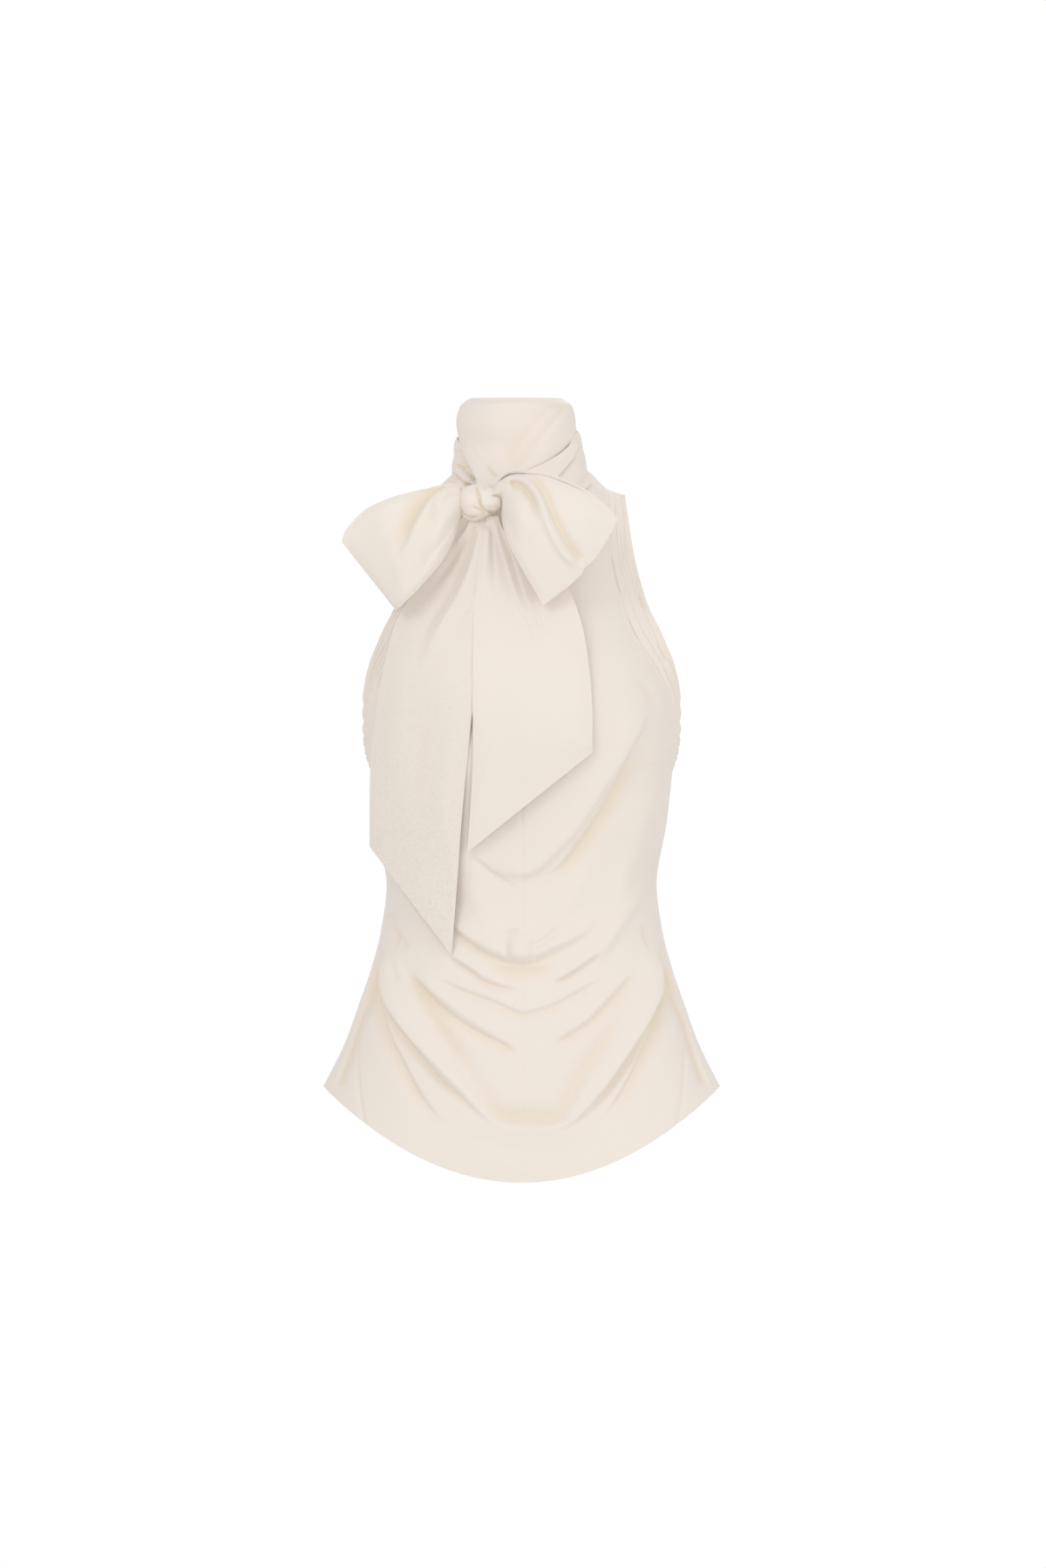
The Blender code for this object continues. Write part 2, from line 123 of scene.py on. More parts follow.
# lift is outward and negative for a trough. above and below are the widths on the two sides of
# the path: left of its direction, then right. ends are the shares that fade at start and finish.
HIP_EDGE = [(131, -420), (134, -432), (141, -458), (148.5, -477), (157.5, -506), (168, -534)]
DRAPES = [
    # diagonal roll from the right underarm, round the middle and up to the left
    Crease(5.4, 16, 4.5, (0.25, 0.15), [
        (-38, -322), (-28, -330), (-13, -337), (2, -339), (14, -334), (29, -319), (47, -300),
        (64, -274), (84, -244), (102, -212), (114, -187)]),
    Crease(-3.8, 2.2, 12, (0.2, 0.3), [
        (14, -343), (32, -337), (50, -315), (67, -291), (82, -265), (97, -235), (109, -209)]),
    Crease(-2.4, 2, 7, (0.3, 0.35), [
        (-48, -322), (-36, -331), (-26, -340), (-13, -347), (-2, -357)]),
    # long soft rolls falling from the sides
    Crease(3.5, 12, 9, (0.3, 0.3), [
        (74, -382), (87, -357), (102, -317), (112, -284), (123, -244)]),
    Crease(4.0, 11, 7, (0.35, 0.35), [
        (40, -430), (64, -414), (85, -386), (102, -359), (111, -335)]),
    Crease(2.4, 10, 9, (0.3, 0.3), [(-26, -409), (-26, -394), (-38, -367), (-46, -342)]),
    Crease(2.4, 9, 9, (0.35, 0.35), [(24, -394), (32, -379), (47, -357), (64, -329)]),
    Crease(3.5, 11, 10, (0.3, 0.35), [(-120, -300), (-108, -340), (-88, -378), (-62, -408)]),
    # the main swag with the deep fold under it
    Crease(4.6, 15, 4, (0.25, 0.3), [
        (-72, -366), (-63, -379), (-57, -387), (-46, -395), (-33, -403), (-21, -409), (-11, -412),
        (0, -413), (12, -411), (27, -404), (42, -398), (54, -391), (64, -381), (74, -367)]),
    Crease(-3.4, 2.2, 6, (0.2, 0.5), [
        (-68, -380), (-57, -394), (-46, -402), (-33, -411), (-21, -416), (-11, -420), (0, -421),
        (12, -419), (27, -412), (42, -406), (54, -399), (64, -389)]),
    Crease(-2.8, 3, 8, (0.3, 0.3), [(-40, -417), (-20, -425), (0, -427), (20, -425), (38, -417)]),
    Crease(-2.6, 1.8, 4, (0.3, 0.3), [(9, -405), (13, -403), (24, -395), (34, -385)]),
    Crease(-2.4, 1.8, 3, (0.3, 0.3), [(-16, -399), (-12, -394), (-6, -391), (0, -392)]),
    Crease(-2.6, 1.6, 3, (0.3, 0.3), [(-12, -394), (-13, -404), (-11, -414), (-5, -420)]),
    Crease(-2.6, 3, 1.6, (0.3, 0.3), [(8, -395), (9.5, -404), (8, -413), (3, -420)]),
    # fine sharp folds below it
    Crease(2.0, 8, 2.2, (0.25, 0.3), [
        (-70, -408), (-62, -413), (-46, -422), (-33, -431), (-14, -437)]),
    Crease(-3.0, 1.8, 4, (0.2, 0.3), [
        (-70, -412), (-62, -417), (-46, -427), (-33, -437), (-18, -441), (4, -446)]),
    Crease(2.0, 8, 2.2, (0.3, 0.25), [(26, -436), (44, -426), (60, -415), (70, -406)]),
    Crease(-3.0, 1.8, 4, (0.3, 0.2), [(24, -441), (44, -430), (60, -419), (70, -410)]),
    Crease(-2.4, 1.6, 6, (0.2, 0.2), [
        (-88, -431), (-81, -433), (-66, -439), (-46, -447), (-26, -454), (-6, -463), (2, -465),
        (19, -461), (34, -455), (54, -444), (74, -434), (82, -430)]),
    Crease(2.6, 9, 3, (0.2, 0.3), [
        (-98, -424), (-82, -441), (-60, -459), (-36, -475), (-10, -489)]),
    Crease(-3.2, 1.9, 7, (0.15, 0.1), [
        (-103, -428), (-86, -446), (-74, -457), (-61, -467), (-46, -477), (-31, -485), (-13, -494),
        (-5, -503)]),
    Crease(2.2, 9, 4, (0.2, 0.3), [(24, -490), (42, -479), (57, -469), (72, -454), (88, -438)]),
    Crease(-2.6, 3, 7, (0.25, 0.15), [
        (22, -498), (44, -484), (59, -474), (74, -459), (89, -444), (104, -428)]),
    # the lowest, widest swag: a rolled band between a soft inner and a crisp outer line
    Crease(6.6, 13, 4, (0.15, 0.4), [
        (-113, -398), (-120, -417), (-122, -436), (-118, -453), (-110, -467), (-94, -488),
        (-74, -510), (-54, -531), (-37, -549), (-24, -559), (-8, -566)]),
    Crease(4.6, 3.5, 17, (0.35, 0.35), [
        (-48, -537), (-24, -559), (-11, -565), (4, -567), (27, -565), (47, -557), (62, -541)]),
    Crease(6.6, 13, 4, (0.4, 0.15), [
        (12, -567), (27, -565), (47, -557), (65, -538), (81, -515), (97, -491), (112, -466),
        (121, -444), (120, -424), (112, -399)]),
    Crease(-3.6, 1.8, 5, (0.1, 0.35), [
        (-124, -402), (-126, -422), (-126.5, -444), (-120.5, -463), (-109, -479), (-91, -502),
        (-73, -523), (-57, -537), (-34, -558), (-18, -569)]),
    Crease(-3.6, 1.8, 5, (0.35, 0.1), [
        (22, -571), (41, -566), (55, -555), (69, -540), (86, -519), (106, -491), (121, -463),
        (127, -444), (126, -424), (122, -405)]),
    Crease(-3.8, 11, 3.2, (0.2, 0.2), [
        (-108, -405), (-99, -436), (-86, -461), (-69, -489), (-51, -519), (-36, -541), (-21, -556),
        (0, -559), (29, -558), (40, -549), (54, -524), (74, -494), (92, -464), (104, -432)]),
    Crease(-3.2, 1.8, 9, (0.12, 0.3), [
        (-133, -424), (-131, -436), (-128.5, -458), (-118.5, -486), (-107, -508), (-92, -535.5),
        (-79, -553), (-64, -570)]),
    Crease(-3.0, 1.8, 9, (0.3, 0.12), [
        (66, -568), (86, -541), (102, -513), (116, -485), (127, -456), (130, -436), (132, -420)]),
    Crease(2.0, 14, 16, (0.3, 0.3), [(-52, -586), (-24, -596), (10, -598), (40, -592)]),
    # pulls at the upper ends of the wide swag
    Crease(-1.8, 1.2, 5, (0.25, 0.25), [(-109, -388), (-110.5, -395), (-114, -413)]),
    Crease(-1.4, 3, 3, (0.25, 0.3), [(-109, -394), (-103, -410)]),
    Crease(-1.2, 2, 3, (0.3, 0.3), [(-115, -414), (-110, -440)]),
    Crease(-1.6, 5, 1.2, (0.25, 0.25), [(107, -384), (110, -396), (116, -414)]),
    # the rolled side edges at the hip
    Crease(-3.6, 6, 1.2, (0.12, 0.1), [(-x, z) for x, z in HIP_EDGE]),
    Crease(-3.6, 1.2, 6, (0.12, 0.1), HIP_EDGE),
    # pressed lines near the side seams
    Crease(-1.1, 1.0, 2.5, (0.15, 0.08), [
        (-147, -485), (-147, -496), (-146, -517), (-143.5, -542), (-139.5, -566), (-138, -576)]),
    Crease(-1.1, 2.5, 1.0, (0.08, 0.15), [
        (138, -576), (139.5, -566), (143.5, -542), (146, -517), (147, -490)]),
    # the cloth that fills out behind the split between the tails
    Crease(6.0, 24, 22, (0.3, 0.25), [(-46, -170), (-50, -240), (-54, -310), (-56, -385)]),
    # small pulls at the waist and the bust
    Crease(-1.6, 3, 4, (0.3, 0.3), [(118, -322), (120, -345), (122, -368)]),
    Crease(-1.6, 4, 4, (0.3, 0.3), [(-117, -372), (-114, -392), (-110, -406)]),
    Crease(-1.6, 5, 5, (0.4, 0.4), [(96, -160), (112, -176), (124, -200)]),
    Crease(1.6, 9, 9, (0.4, 0.4), [(70, -70), (88, -110), (112, -156)]),
]
# the gathered bump on the centre seam
BUMP = {"x": -2.0, "z": -405.0, "wide": 8.0, "high": 12.0, "lift": 5.0}

# little folds on the right shoulder, beside the tie
SHOULDER_CREASES = [
    Crease(2.2, 4, 1.8, (0.3, 0.3), [(44, -1), (50, 2), (56.5, 5.5), (64, 11.5)]),
    Crease(-1.8, 1.4, 4, (0.3, 0.3), [(46, -3), (51, -0.5), (57.5, 3), (65, 8.5)]),
    Crease(1.2, 3, 2, (0.3, 0.4), [(58, 22), (64, 18), (72, 12)]),
    Crease(-0.9, 1.4, 2, (0.3, 0.3), [(57, -8), (66, -7.5), (77, -5)]),
]

BACK_CREASES = [
    Crease(3.0, 14, 10, (0.3, 0.3), [
        (-96, -300), (-60, -345), (-10, -362), (44, -350), (90, -312)]),
    Crease(-2.6, 6, 9, (0.3, 0.3), [(-84, -318), (-40, -362), (4, -374), (52, -360), (86, -330)]),
    Crease(3.4, 12, 12, (0.35, 0.3), [(-66, -380), (-76, -440), (-92, -520)]),
    Crease(-2.6, 8, 10, (0.35, 0.3), [(-40, -384), (-46, -452), (-58, -548)]),
    Crease(3.0, 12, 12, (0.35, 0.3), [(58, -384), (70, -446), (84, -530)]),
    Crease(-2.2, 9, 9, (0.35, 0.3), [(22, -392), (28, -470), (30, -560)]),
    Crease(2.2, 12, 12, (0.4, 0.3), [(-8, -400), (-12, -480), (-16, -570)]),
    Crease(1.8, 12, 12, (0.4, 0.4), [(-70, -60), (-92, -120), (-104, -190)]),
    Crease(1.6, 12, 12, (0.4, 0.4), [(66, -70), (86, -130), (106, -186)]),
]


def lerp(a, b, t):
    return a + (b - a) * t


def soft(t):
    t = np.clip(t, 0.0, 1.0)
    return t * t * (3.0 - 2.0 * t)


def hump(distance, width):
    return np.exp(-(distance / width) ** 2)


def rows_at(rows, place):
    """Columns of a table, read smoothly at fractional places."""
    table = np.array(rows, float)
    last = len(table) - 1
    place = np.clip(place, 0, last)
    i = np.minimum(place.astype(int), last - 1)
    t = (place - i)[:, None]
    p, q, r, s = (table[np.maximum(i - 1, 0)], table[i], table[i + 1],
                  table[np.minimum(i + 2, last)])
    return (q + 0.5 * t * (r - p + t * (2 * p - 5 * q + 4 * r - s
                                        + t * (3 * (q - r) + s - p)))).T


def rounded(path, steps=6):
    """A path with a smooth run of points between its own."""
    count = (len(path) - 1) * steps + 1
    return rows_at(path, np.linspace(0, len(path) - 1, count)).T


def beside(path, x, z):
    """Signed distance from a path, positive on its left, and the share travelled along it."""
    points = rounded(path)
    best = np.full(len(x), 1e9)
    side = np.zeros(len(x))
    share = np.zeros(len(x))
    lengths = np.hypot(*np.diff(points, axis=0).T)
    total = lengths.sum()
    gone = 0.0
    for (ax, az), (bx, bz), length in zip(points, points[1:], lengths):
        dx, dz = (bx - ax) / length, (bz - az) / length
        along = np.clip((x - ax) * dx + (z - az) * dz, 0, length)
        away = np.hypot(x - ax - along * dx, z - az - along * dz)
        near = away < best
        best = np.where(near, away, best)
        turn = dx * (z - az) - dz * (x - ax)
        side = np.where(near, np.sign(turn), side)
        share = np.where(near, (gone + along) / total, share)
        gone += length
    return best * side, share


def crease_lift(creases, x, z):
    total = np.zeros(len(x))
    for crease in creases:
        away, share = beside(crease.path, x, z)
        width = np.where(away > 0, crease.above, crease.below)
        start, finish = crease.ends
        fade = soft(share / start) * soft((1 - share) / finish)
        total += crease.lift * hump(away, width) * fade
    return total


def fold_shade_share(lift, most, reach, start=0.0):
    """Share of painted shade, a warmer darker colour, in a fold that sinks deeper than start."""
    return np.clip((-lift - start) / reach, 0, most)


# ---- body form

def section(half, edge_y, depth, u):
    """A rounded body section from the centre (u=0) to the panel edge (u=1)."""
    reach = np.where(depth > 0, edge_y, -edge_y)
    ratio = reach / np.abs(depth)
    end = np.arccos(np.clip(np.sign(ratio) * np.abs(ratio) ** (SECTION_POWER / 2), -1, 1))
    widest = half / np.sin(end) ** (2 / SECTION_POWER)
    angle = end * u
    x = widest * np.sin(angle) ** (2 / SECTION_POWER)
    cosine = np.cos(angle)
    return x, depth * np.sign(cosine) * np.abs(cosine) ** (2 / SECTION_POWER)


def ring_points(place, u, back):
    mid, edge, half, front_y, front_depth, back_y, back_depth = rows_at(RINGS, place)
    x, y = section(half, back_y if back else front_y, back_depth if back else -front_depth, u)
    z = lerp(mid, edge, (x / half) ** 2)
    if not back:
        y = y - BUST_OUT * hump(x - BUST_X, BUST_WIDE) * hump(z - BUST_Z, BUST_HIGH)
    return np.array([x, y, z])


def top_edge(u, back):
    turn = np.minimum(u / NECK_SHARE, 1) * math.pi / 2
    far = NECK_BACK if back else NECK_FRONT
    mid_z = NECK_BACK_Z if back else NECK_FRONT_Z
    neck = np.array([NECK_HALF * np.sin(turn), lerp(SHOULDER_Y, far, np.cos(turn)),
                     lerp(mid_z, NECK_SIDE_Z, np.sin(turn) ** 2)])
    t = (u - NECK_SHARE) / (1 - NECK_SHARE)
    shoulder = np.array([lerp(NECK_HALF, SHOULDER_X, t), np.full(len(u), SHOULDER_Y),
                         lerp(NECK_SIDE_Z, SHOULDER_Z, t)])
    return np.where(u <= NECK_SHARE, neck, shoulder)


def body_points(place, u, side, back):
    """Body surface. place runs from -1 at the top edge to the last ring at the hem."""
    low = ring_points(np.maximum(place, 0), u, back)
    top = top_edge(u, back)
    over = soft(u / NECK_SHARE)
    bend = np.array([lerp(top[0], low[0], 0.5), lerp(top[1], low[1], lerp(0.5, 0.72, over)),
                     lerp(top[2], low[2], lerp(0.5, 0.12, over))])
    t = np.clip(place + 1, 0, 1)
    arch = lerp(lerp(top, bend, t), lerp(bend, low, t), t)
    x, y, z = np.where(place < 0, arch, low)
    return side * x, y, z


def pushed(x, y, z, lift):
    """Moves body points outward by lift."""
    length = np.hypot(x / 160, y / 120)
    return x + lift * (x / 160) / length, y + lift * (y / 120) / length, z


# ---- cloth pieces

TRIM_WALL, BAND_WALL = 1.1, 1.2
MERGE = 2e-6            # metres
SHARP = math.radians(62)


def cloth_piece(name, across, down, shape, wall, material, replaces, flat,
                closed=False, inside=None):
    """A piece of cloth: a grid moved onto its form, then given its wall inward.

    shape turns the grid's u and v into x, y, z and the share of painted fold shade each point
    takes. closed pieces meet themselves. inside is a point that the faces look away from.
    """
    bm = bmesh.new()
    bmesh.ops.create_grid(bm, x_segments=across, y_segments=down, size=0.5)
    mesh = bpy.data.meshes.new(name)
    bm.to_mesh(mesh)
    bm.free()
    count = len(mesh.vertices)
    co = np.empty(count * 3, np.float64)
    mesh.vertices.foreach_get("co", co)
    co = co.reshape(-1, 3)
    u, v = co[:, 0] + 0.5, 0.5 - co[:, 1]
    x, y, z, painted_fold_shade = shape(u, v)
    mesh.vertices.foreach_set("co", (np.column_stack([x, y, z]) * MM).ravel())
    corners = np.empty(len(mesh.loops), np.int32)
    mesh.loops.foreach_get("vertex_index", corners)
    layer = mesh.uv_layers.new(name="cloth")
    weave = np.column_stack([u * flat[0], (1 - v) * flat[1]])[corners]
    layer.data.foreach_set("uv", weave.ravel())
    # painted shade: how much of the warm, darker fold colour each point takes
    shade = mesh.attributes.new("painted_fold_shade", "FLOAT", "POINT")
    shade.data.foreach_set("value", np.asarray(painted_fold_shade, np.float32))
    # how far down the grid a point lies; the finish darkens the cloth with it, partly grain and
    # partly painted shade
    fall = mesh.attributes.new("fall", "FLOAT", "POINT")
    fall.data.foreach_set("value", np.asarray(v, np.float32))

    bm = bmesh.new()
    bm.from_mesh(mesh)
    if closed:
        bmesh.ops.remove_doubles(bm, verts=bm.verts, dist=MERGE)
    bm.normal_update()
    facing = 0.0
    for face in bm.faces:
        middle = face.calc_center_median()
        core = Vector((0.0, 0.0, middle.z)) if inside is None else Vector(inside) * MM
        facing += face.normal.dot(middle - core) * face.calc_area()
    if facing < 0:
        bmesh.ops.reverse_faces(bm, faces=bm.faces)
    bm.to_mesh(mesh)
    bm.free()
    mesh.polygons.foreach_set("use_smooth", [True] * len(mesh.polygons))
    mesh.materials.append(material)
    piece = bpy.data.objects.new(name, mesh)
    bpy.context.scene.collection.objects.link(piece)
    shell = piece.modifiers.new("cloth wall", "SOLIDIFY")
    shell.thickness = wall * MM
    shell.offset = -1.0
    shell.use_rim = True
    walled = bpy.data.meshes.new_from_object(
        piece.evaluated_get(bpy.context.evaluated_depsgraph_get()))
    piece.modifiers.clear()
    piece.data = walled
    walled.name = name
    walled.set_sharp_from_angle(angle=SHARP)
    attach(piece, "root")
    if replaces:
        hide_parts(*replaces)
    return piece


# ---- materials

def feed(tree, socket, value):
    if isinstance(value, Wire):
        tree.links.new(value.socket, socket)
    else:
        socket.default_value = value


class Wire:
    """A shader socket that takes part in Python arithmetic."""

    def __init__(self, tree, socket):
        self.tree, self.socket = tree, socket

    def joined(self, operation, first, second):
        made = self.tree.nodes.new("ShaderNodeMath")
        made.operation = operation
        for socket, value in zip(made.inputs, (first, second)):
            feed(self.tree, socket, value)
        return Wire(self.tree, made.outputs[0])

    def __add__(self, other):
        return self.joined("ADD", self, other)

    def __radd__(self, other):
        return self.joined("ADD", other, self)

    def __sub__(self, other):
        return self.joined("SUBTRACT", self, other)

    def __rsub__(self, other):
        return self.joined("SUBTRACT", other, self)

    def __mul__(self, other):
        return self.joined("MULTIPLY", self, other)

    def __rmul__(self, other):
        return self.joined("MULTIPLY", other, self)


class Finish:
    """A material with one way of adding any node."""

    def __init__(self, name):
        self.material = bpy.data.materials.new(name)
        self.material.use_nodes = True
        self.tree = self.material.node_tree
        self.shader = self.tree.nodes["Principled BSDF"]

    def node(self, kind, out=0, settings=(), **inputs):
        made = self.tree.nodes.new(kind)
        for key, value in dict(settings).items():
            setattr(made, key, value)
        for key, value in inputs.items():
            feed(self.tree, made.inputs[key.replace("_", " ")], value)
        return Wire(self.tree, made.outputs[out])


def mix_colour(finish, factor, a, b):
    made = finish.tree.nodes.new("ShaderNodeMix")
    made.data_type = "RGBA"
    for place, value in ((0, factor), (6, a), (7, b)):
        feed(finish.tree, made.inputs[place], value)
    return Wire(finish.tree, made.outputs[2])


def shade_of(colour, factor):
    return tuple(c * factor for c in colour[:3]) + (1.0,)


def crepe_finish(name, colour, crease, rough, sheen, grain, pebble):
    """Ivory satin-backed crepe: a fine weave, soft grain that grows darker down each piece, partly
    painted shade, and painted warm shade in the folds.
    """
    finish = Finish(name)
    place = finish.node("ShaderNodeTexCoord", out="Object")
    weave = finish.node("ShaderNodeTexCoord", out="UV")
    cloudy = finish.node("ShaderNodeTexNoise", Vector=place, Scale=9.0, Detail=2.0)
    slub_place = finish.node("ShaderNodeMapping", Vector=weave, Scale=(260.0, 900.0, 1.0))
    slub = finish.node("ShaderNodeTexNoise", Vector=slub_place, Scale=1.0, Detail=2.0)
    crinkle = finish.node("ShaderNodeTexNoise", Vector=place, Scale=620.0, Detail=3.0,
                          Roughness=0.6)
    threads = finish.node("ShaderNodeTexWave", Vector=weave, Scale=560.0, Distortion=0.6,
                          Detail=1.0)
    painted_fold_shade = finish.node("ShaderNodeAttribute", out="Fac", settings={"attribute_name": "painted_fold_shade"})
    base = mix_colour(finish, cloudy * 0.5, shade_of(colour, 1.0), shade_of(colour, 0.975))
    mottle = finish.node("ShaderNodeTexNoise", Vector=place, Scale=260.0, Detail=4.0,
                         Roughness=0.7)
    fall = finish.node("ShaderNodeAttribute", out="Fac", settings={"attribute_name": "fall"})
    patchy = (slub - 0.5) * pebble + (crinkle + mottle - 1.0) * (2.0 * pebble)
    # darker and more mottled as fall grows, down most pieces: the crepe's grain, partly painted
    # shade
    base = mix_colour(finish, (0.2 * pebble + patchy) * (0.1 + fall * fall * 1.5), base,
                      shade_of(colour, 0.84))
    # painted shade: the warm, darker fold colour mixed in where the cloth sinks into a fold
    base = mix_colour(finish, painted_fold_shade, base, crease)
    height = crinkle * grain + slub * (grain * 0.8) + mottle * (pebble * 4.0) + threads * 0.25
    bump = finish.node("ShaderNodeBump", Strength=0.35, Distance=0.00035, Height=height)
    for key, value in (("Base Color", base), ("Roughness", rough + (crinkle - 0.5) * 0.12),
                       ("Sheen Weight", sheen), ("Sheen Roughness", 0.45),
                       ("Specular IOR Level", 0.32), ("Normal", bump)):
        feed(finish.tree, finish.shader.inputs[key], value)
    return finish.material


def material_named(name):
    """The cloth finishes, made once and shared by the pieces."""
    found = bpy.data.materials.get(name)
    if found:
        return found
    cloth = bpy.context.scene.blouse_cloth
    colour = tuple(cloth.colour) + (1.0,)
    # painted shade colour for the folds
    crease = tuple(cloth.fold_shade_colour) + (1.0,)
    kinds = {
        "ivory_satin_back": (0.5, 0.25, 0.5, 0.05),
        "ivory_crepe_trim": (0.6, 0.2, 0.8, 0.08),
        "ivory_tie_satin": (0.44, 0.25, 0.45, 0.04),
        "ivory_tie_crepe": (0.68, 0.15, 1.8, 0.45),
    }
    rough, sheen, grain, pebble = kinds[name]
    shaded = shade_of(colour, 0.99) if name == "ivory_tie_crepe" else colour
    return crepe_finish(name, shaded, crease, rough, sheen, grain, pebble)


# ---- front

# shares of the grid, and the rings they reach: most of its rows lie in the swags
FRONT_ROWS, FRONT_PLACES = [0.0, 0.08, 0.18, 0.40, 1.0], [-1, 0, 7, 11, 18]
SWAGS_BELOW, SWAGS_FADE = -120, 60
SEAM_RIDGE, SEAM_GROOVE = 0.35, 0.45
SIDE_LIP = 0.7


def front_shape(side):
    """One front half, draped in swags, with its centre seam pressed in."""

    def shape(u, v):
        place = np.interp(v, FRONT_ROWS, FRONT_PLACES)
        x, y, z = body_points(place, u, side, False)
        cloth = bpy.context.scene.blouse_cloth
        hold = soft((1 - u) / 0.02) * soft((SWAGS_BELOW - z) / SWAGS_FADE)
        lift = crease_lift(DRAPES, x, z) * hold * cloth.crease_depth
        bump = BUMP["lift"] * hump(x - BUMP["x"], BUMP["wide"])
        lift += bump * hump(z - BUMP["z"], BUMP["high"])
        if side > 0:
            lift += crease_lift(SHOULDER_CREASES, x, z) * soft((1 - u) / 0.05)
        seam = (SEAM_RIDGE * hump(np.abs(x) - 2.2, 1.3)
                - SEAM_GROOVE * hump(np.abs(x), 0.8))
        side_edge = SIDE_LIP * soft((u - 0.965) / 0.03)
        x, y, z = pushed(x, y, z, lift + seam + side_edge)
        return x, y, z, fold_shade_share(lift, 0.5, 9, start=0.4)
    return shape


BACK_YOKE = 0.16        # share of the back's grid above the first ring


def back_shape(u, v):
    """The plain back panel, from side seam to side seam."""
    last = len(RINGS) - 1
    place = np.where(v < BACK_YOKE, -1 + v / BACK_YOKE,
                     (v - BACK_YOKE) / (1 - BACK_YOKE) * last)
    across = 2 * u - 1
    x, y, z = body_points(place, np.abs(across), np.sign(across) + (across == 0), True)
    y = y + 0.3 * soft((np.abs(across) - 0.9) / 0.1)
    hold = soft((1 - np.abs(across)) / 0.08)
    lift = crease_lift(BACK_CREASES, x, z) * hold
    inset = 0.5 * soft((np.abs(across) - 0.96) / 0.03)
    x, y, z = pushed(x, y, z, lift - inset)
    return x, y, z, fold_shade_share(lift, 0.3, 18)


# ---- armhole bands

TUCKS = 3.0             # folded layers
STEP, STEP_SHADOW, STEP_LINE = 1.5, 1.1, 0.45       # relief of each layer
FINE, FINE_COUNT = 0.24, 8                          # finer ridges over them
LOW_TWIST = 0.9                                     # waves at the lower end
BAND_GAP = 0.3
Slit = namedtuple("Slit", "start finish across wide depth")
# where the tucks stand open, along the armhole rows
SLITS = [Slit(0.6, 2.4, 0.035, 0.03, 2.2), Slit(3.2, 4.7, 0.035, 0.03, 2.3),
         Slit(2.0, 3.2, 0.80, 0.035, 2.0), Slit(4.6, 6.0, 0.66, 0.03, 1.8),
         Slit(6.0, 8.0, 0.34, 0.03, 1.5)]


def band_shape(side):
    """Ring round the armhole: narrow folded layers, each standing a little over the next."""
    front = [BAND_TOP] + BAND_FRONT
    back = [BAND_TOP] + BAND_BACK
    length = len(front) - 1

    def shape(u, v):
        turn = 2 * u
        on_back = turn > 1
        place = np.where(on_back, 2 - turn, turn) * length - 1
        one = np.ones(len(u))
        inner_front = np.array(body_points(place, one, 1, False))
        inner_back = np.array(body_points(place, one, 1, True))
        outer_front, outer_back = rows_at(front, place + 1), rows_at(back, place + 1)
        inner = np.where(on_back, inner_back, inner_front)
        outer = np.where(on_back, outer_back, outer_front)
        width = np.linalg.norm(outer - inner, axis=0)
        x, y, z = inner + (outer - inner) * lerp(BAND_GAP / width, 1, v)
        step = (v * TUCKS) % 1.0
        sway = np.sin(14 * math.pi * u + 9 * v) + 0.6 * np.sin(31 * u + 4)
        relief = (STEP * step ** 3 - STEP_SHADOW * hump(step, 0.09)
                  + STEP_LINE * hump(step - 0.6, 0.08))
        relief = relief * (1 + 0.22 * sway)
        ridges = np.sin(2 * math.pi * v * FINE_COUNT + 1.2 * np.sin(9 * u))
        relief += FINE * ridges * (1 + 0.5 * sway)
        for slit in SLITS:
            within = soft((place - slit.start) / 0.4) * soft((slit.finish - place) / 0.4)
            relief -= slit.depth * hump(v - slit.across, slit.wide) * within
        low = soft((place - 6.5) / 2.5)
        relief += low * LOW_TWIST * np.sin(2 * math.pi * (2.2 * v + 1.5 * place))
        relief = relief * soft(v / 0.015)
        x, y, z = pushed(x, y, z, relief)
        # the fourth value is painted shade along each step between the folded layers
        return side * x, y, z, 0.35 * hump(step, 0.12) + 0.2 * hump(step - 1.0, 0.05)
    return shape


# ---- collar

def stand_point(turn, share):
    """A point of the collar at an angle from the front and a share of its height."""
    s, c = np.sin(turn), np.cos(turn)
    place = np.interp(share, [row.share for row in STAND], range(len(STAND)))
    _, wide, front, back, lean = rows_at(STAND, place)
    far = np.where(c > 0, front, back)
    low = lerp(np.where(c > 0, NECK_FRONT_Z, NECK_BACK_Z), NECK_SIDE_Z, s * s) + 0.6
    drop = COLLAR_DROP * (np.maximum(0.0, np.abs(s) - 0.6) / 0.4) ** 1.7
    z = lerp(low, COLLAR_TOP - drop, share)
    y = far * np.abs(c) + SHOULDER_Y * (1 - np.abs(c)) * (1 - share)
    return wide * s + lean, y, z


COLLAR_WAVE = 0.7


def collar_shape(u, v):
    """The standing tube of the collar, with a slight wave below its folded top."""
    turn = 2 * math.pi * u
    share = 1 - v
    x, y, z = stand_point(turn, share)
    fold = COLLAR_WAVE * np.sin(3 * turn + 5 * share) * soft((0.9 - share) / 0.3)
    out = 1 + fold / 52
    return x * out, y * out, z, np.zeros(len(u))


Drape = namedtuple("Drape", "z left_x right_x forward")
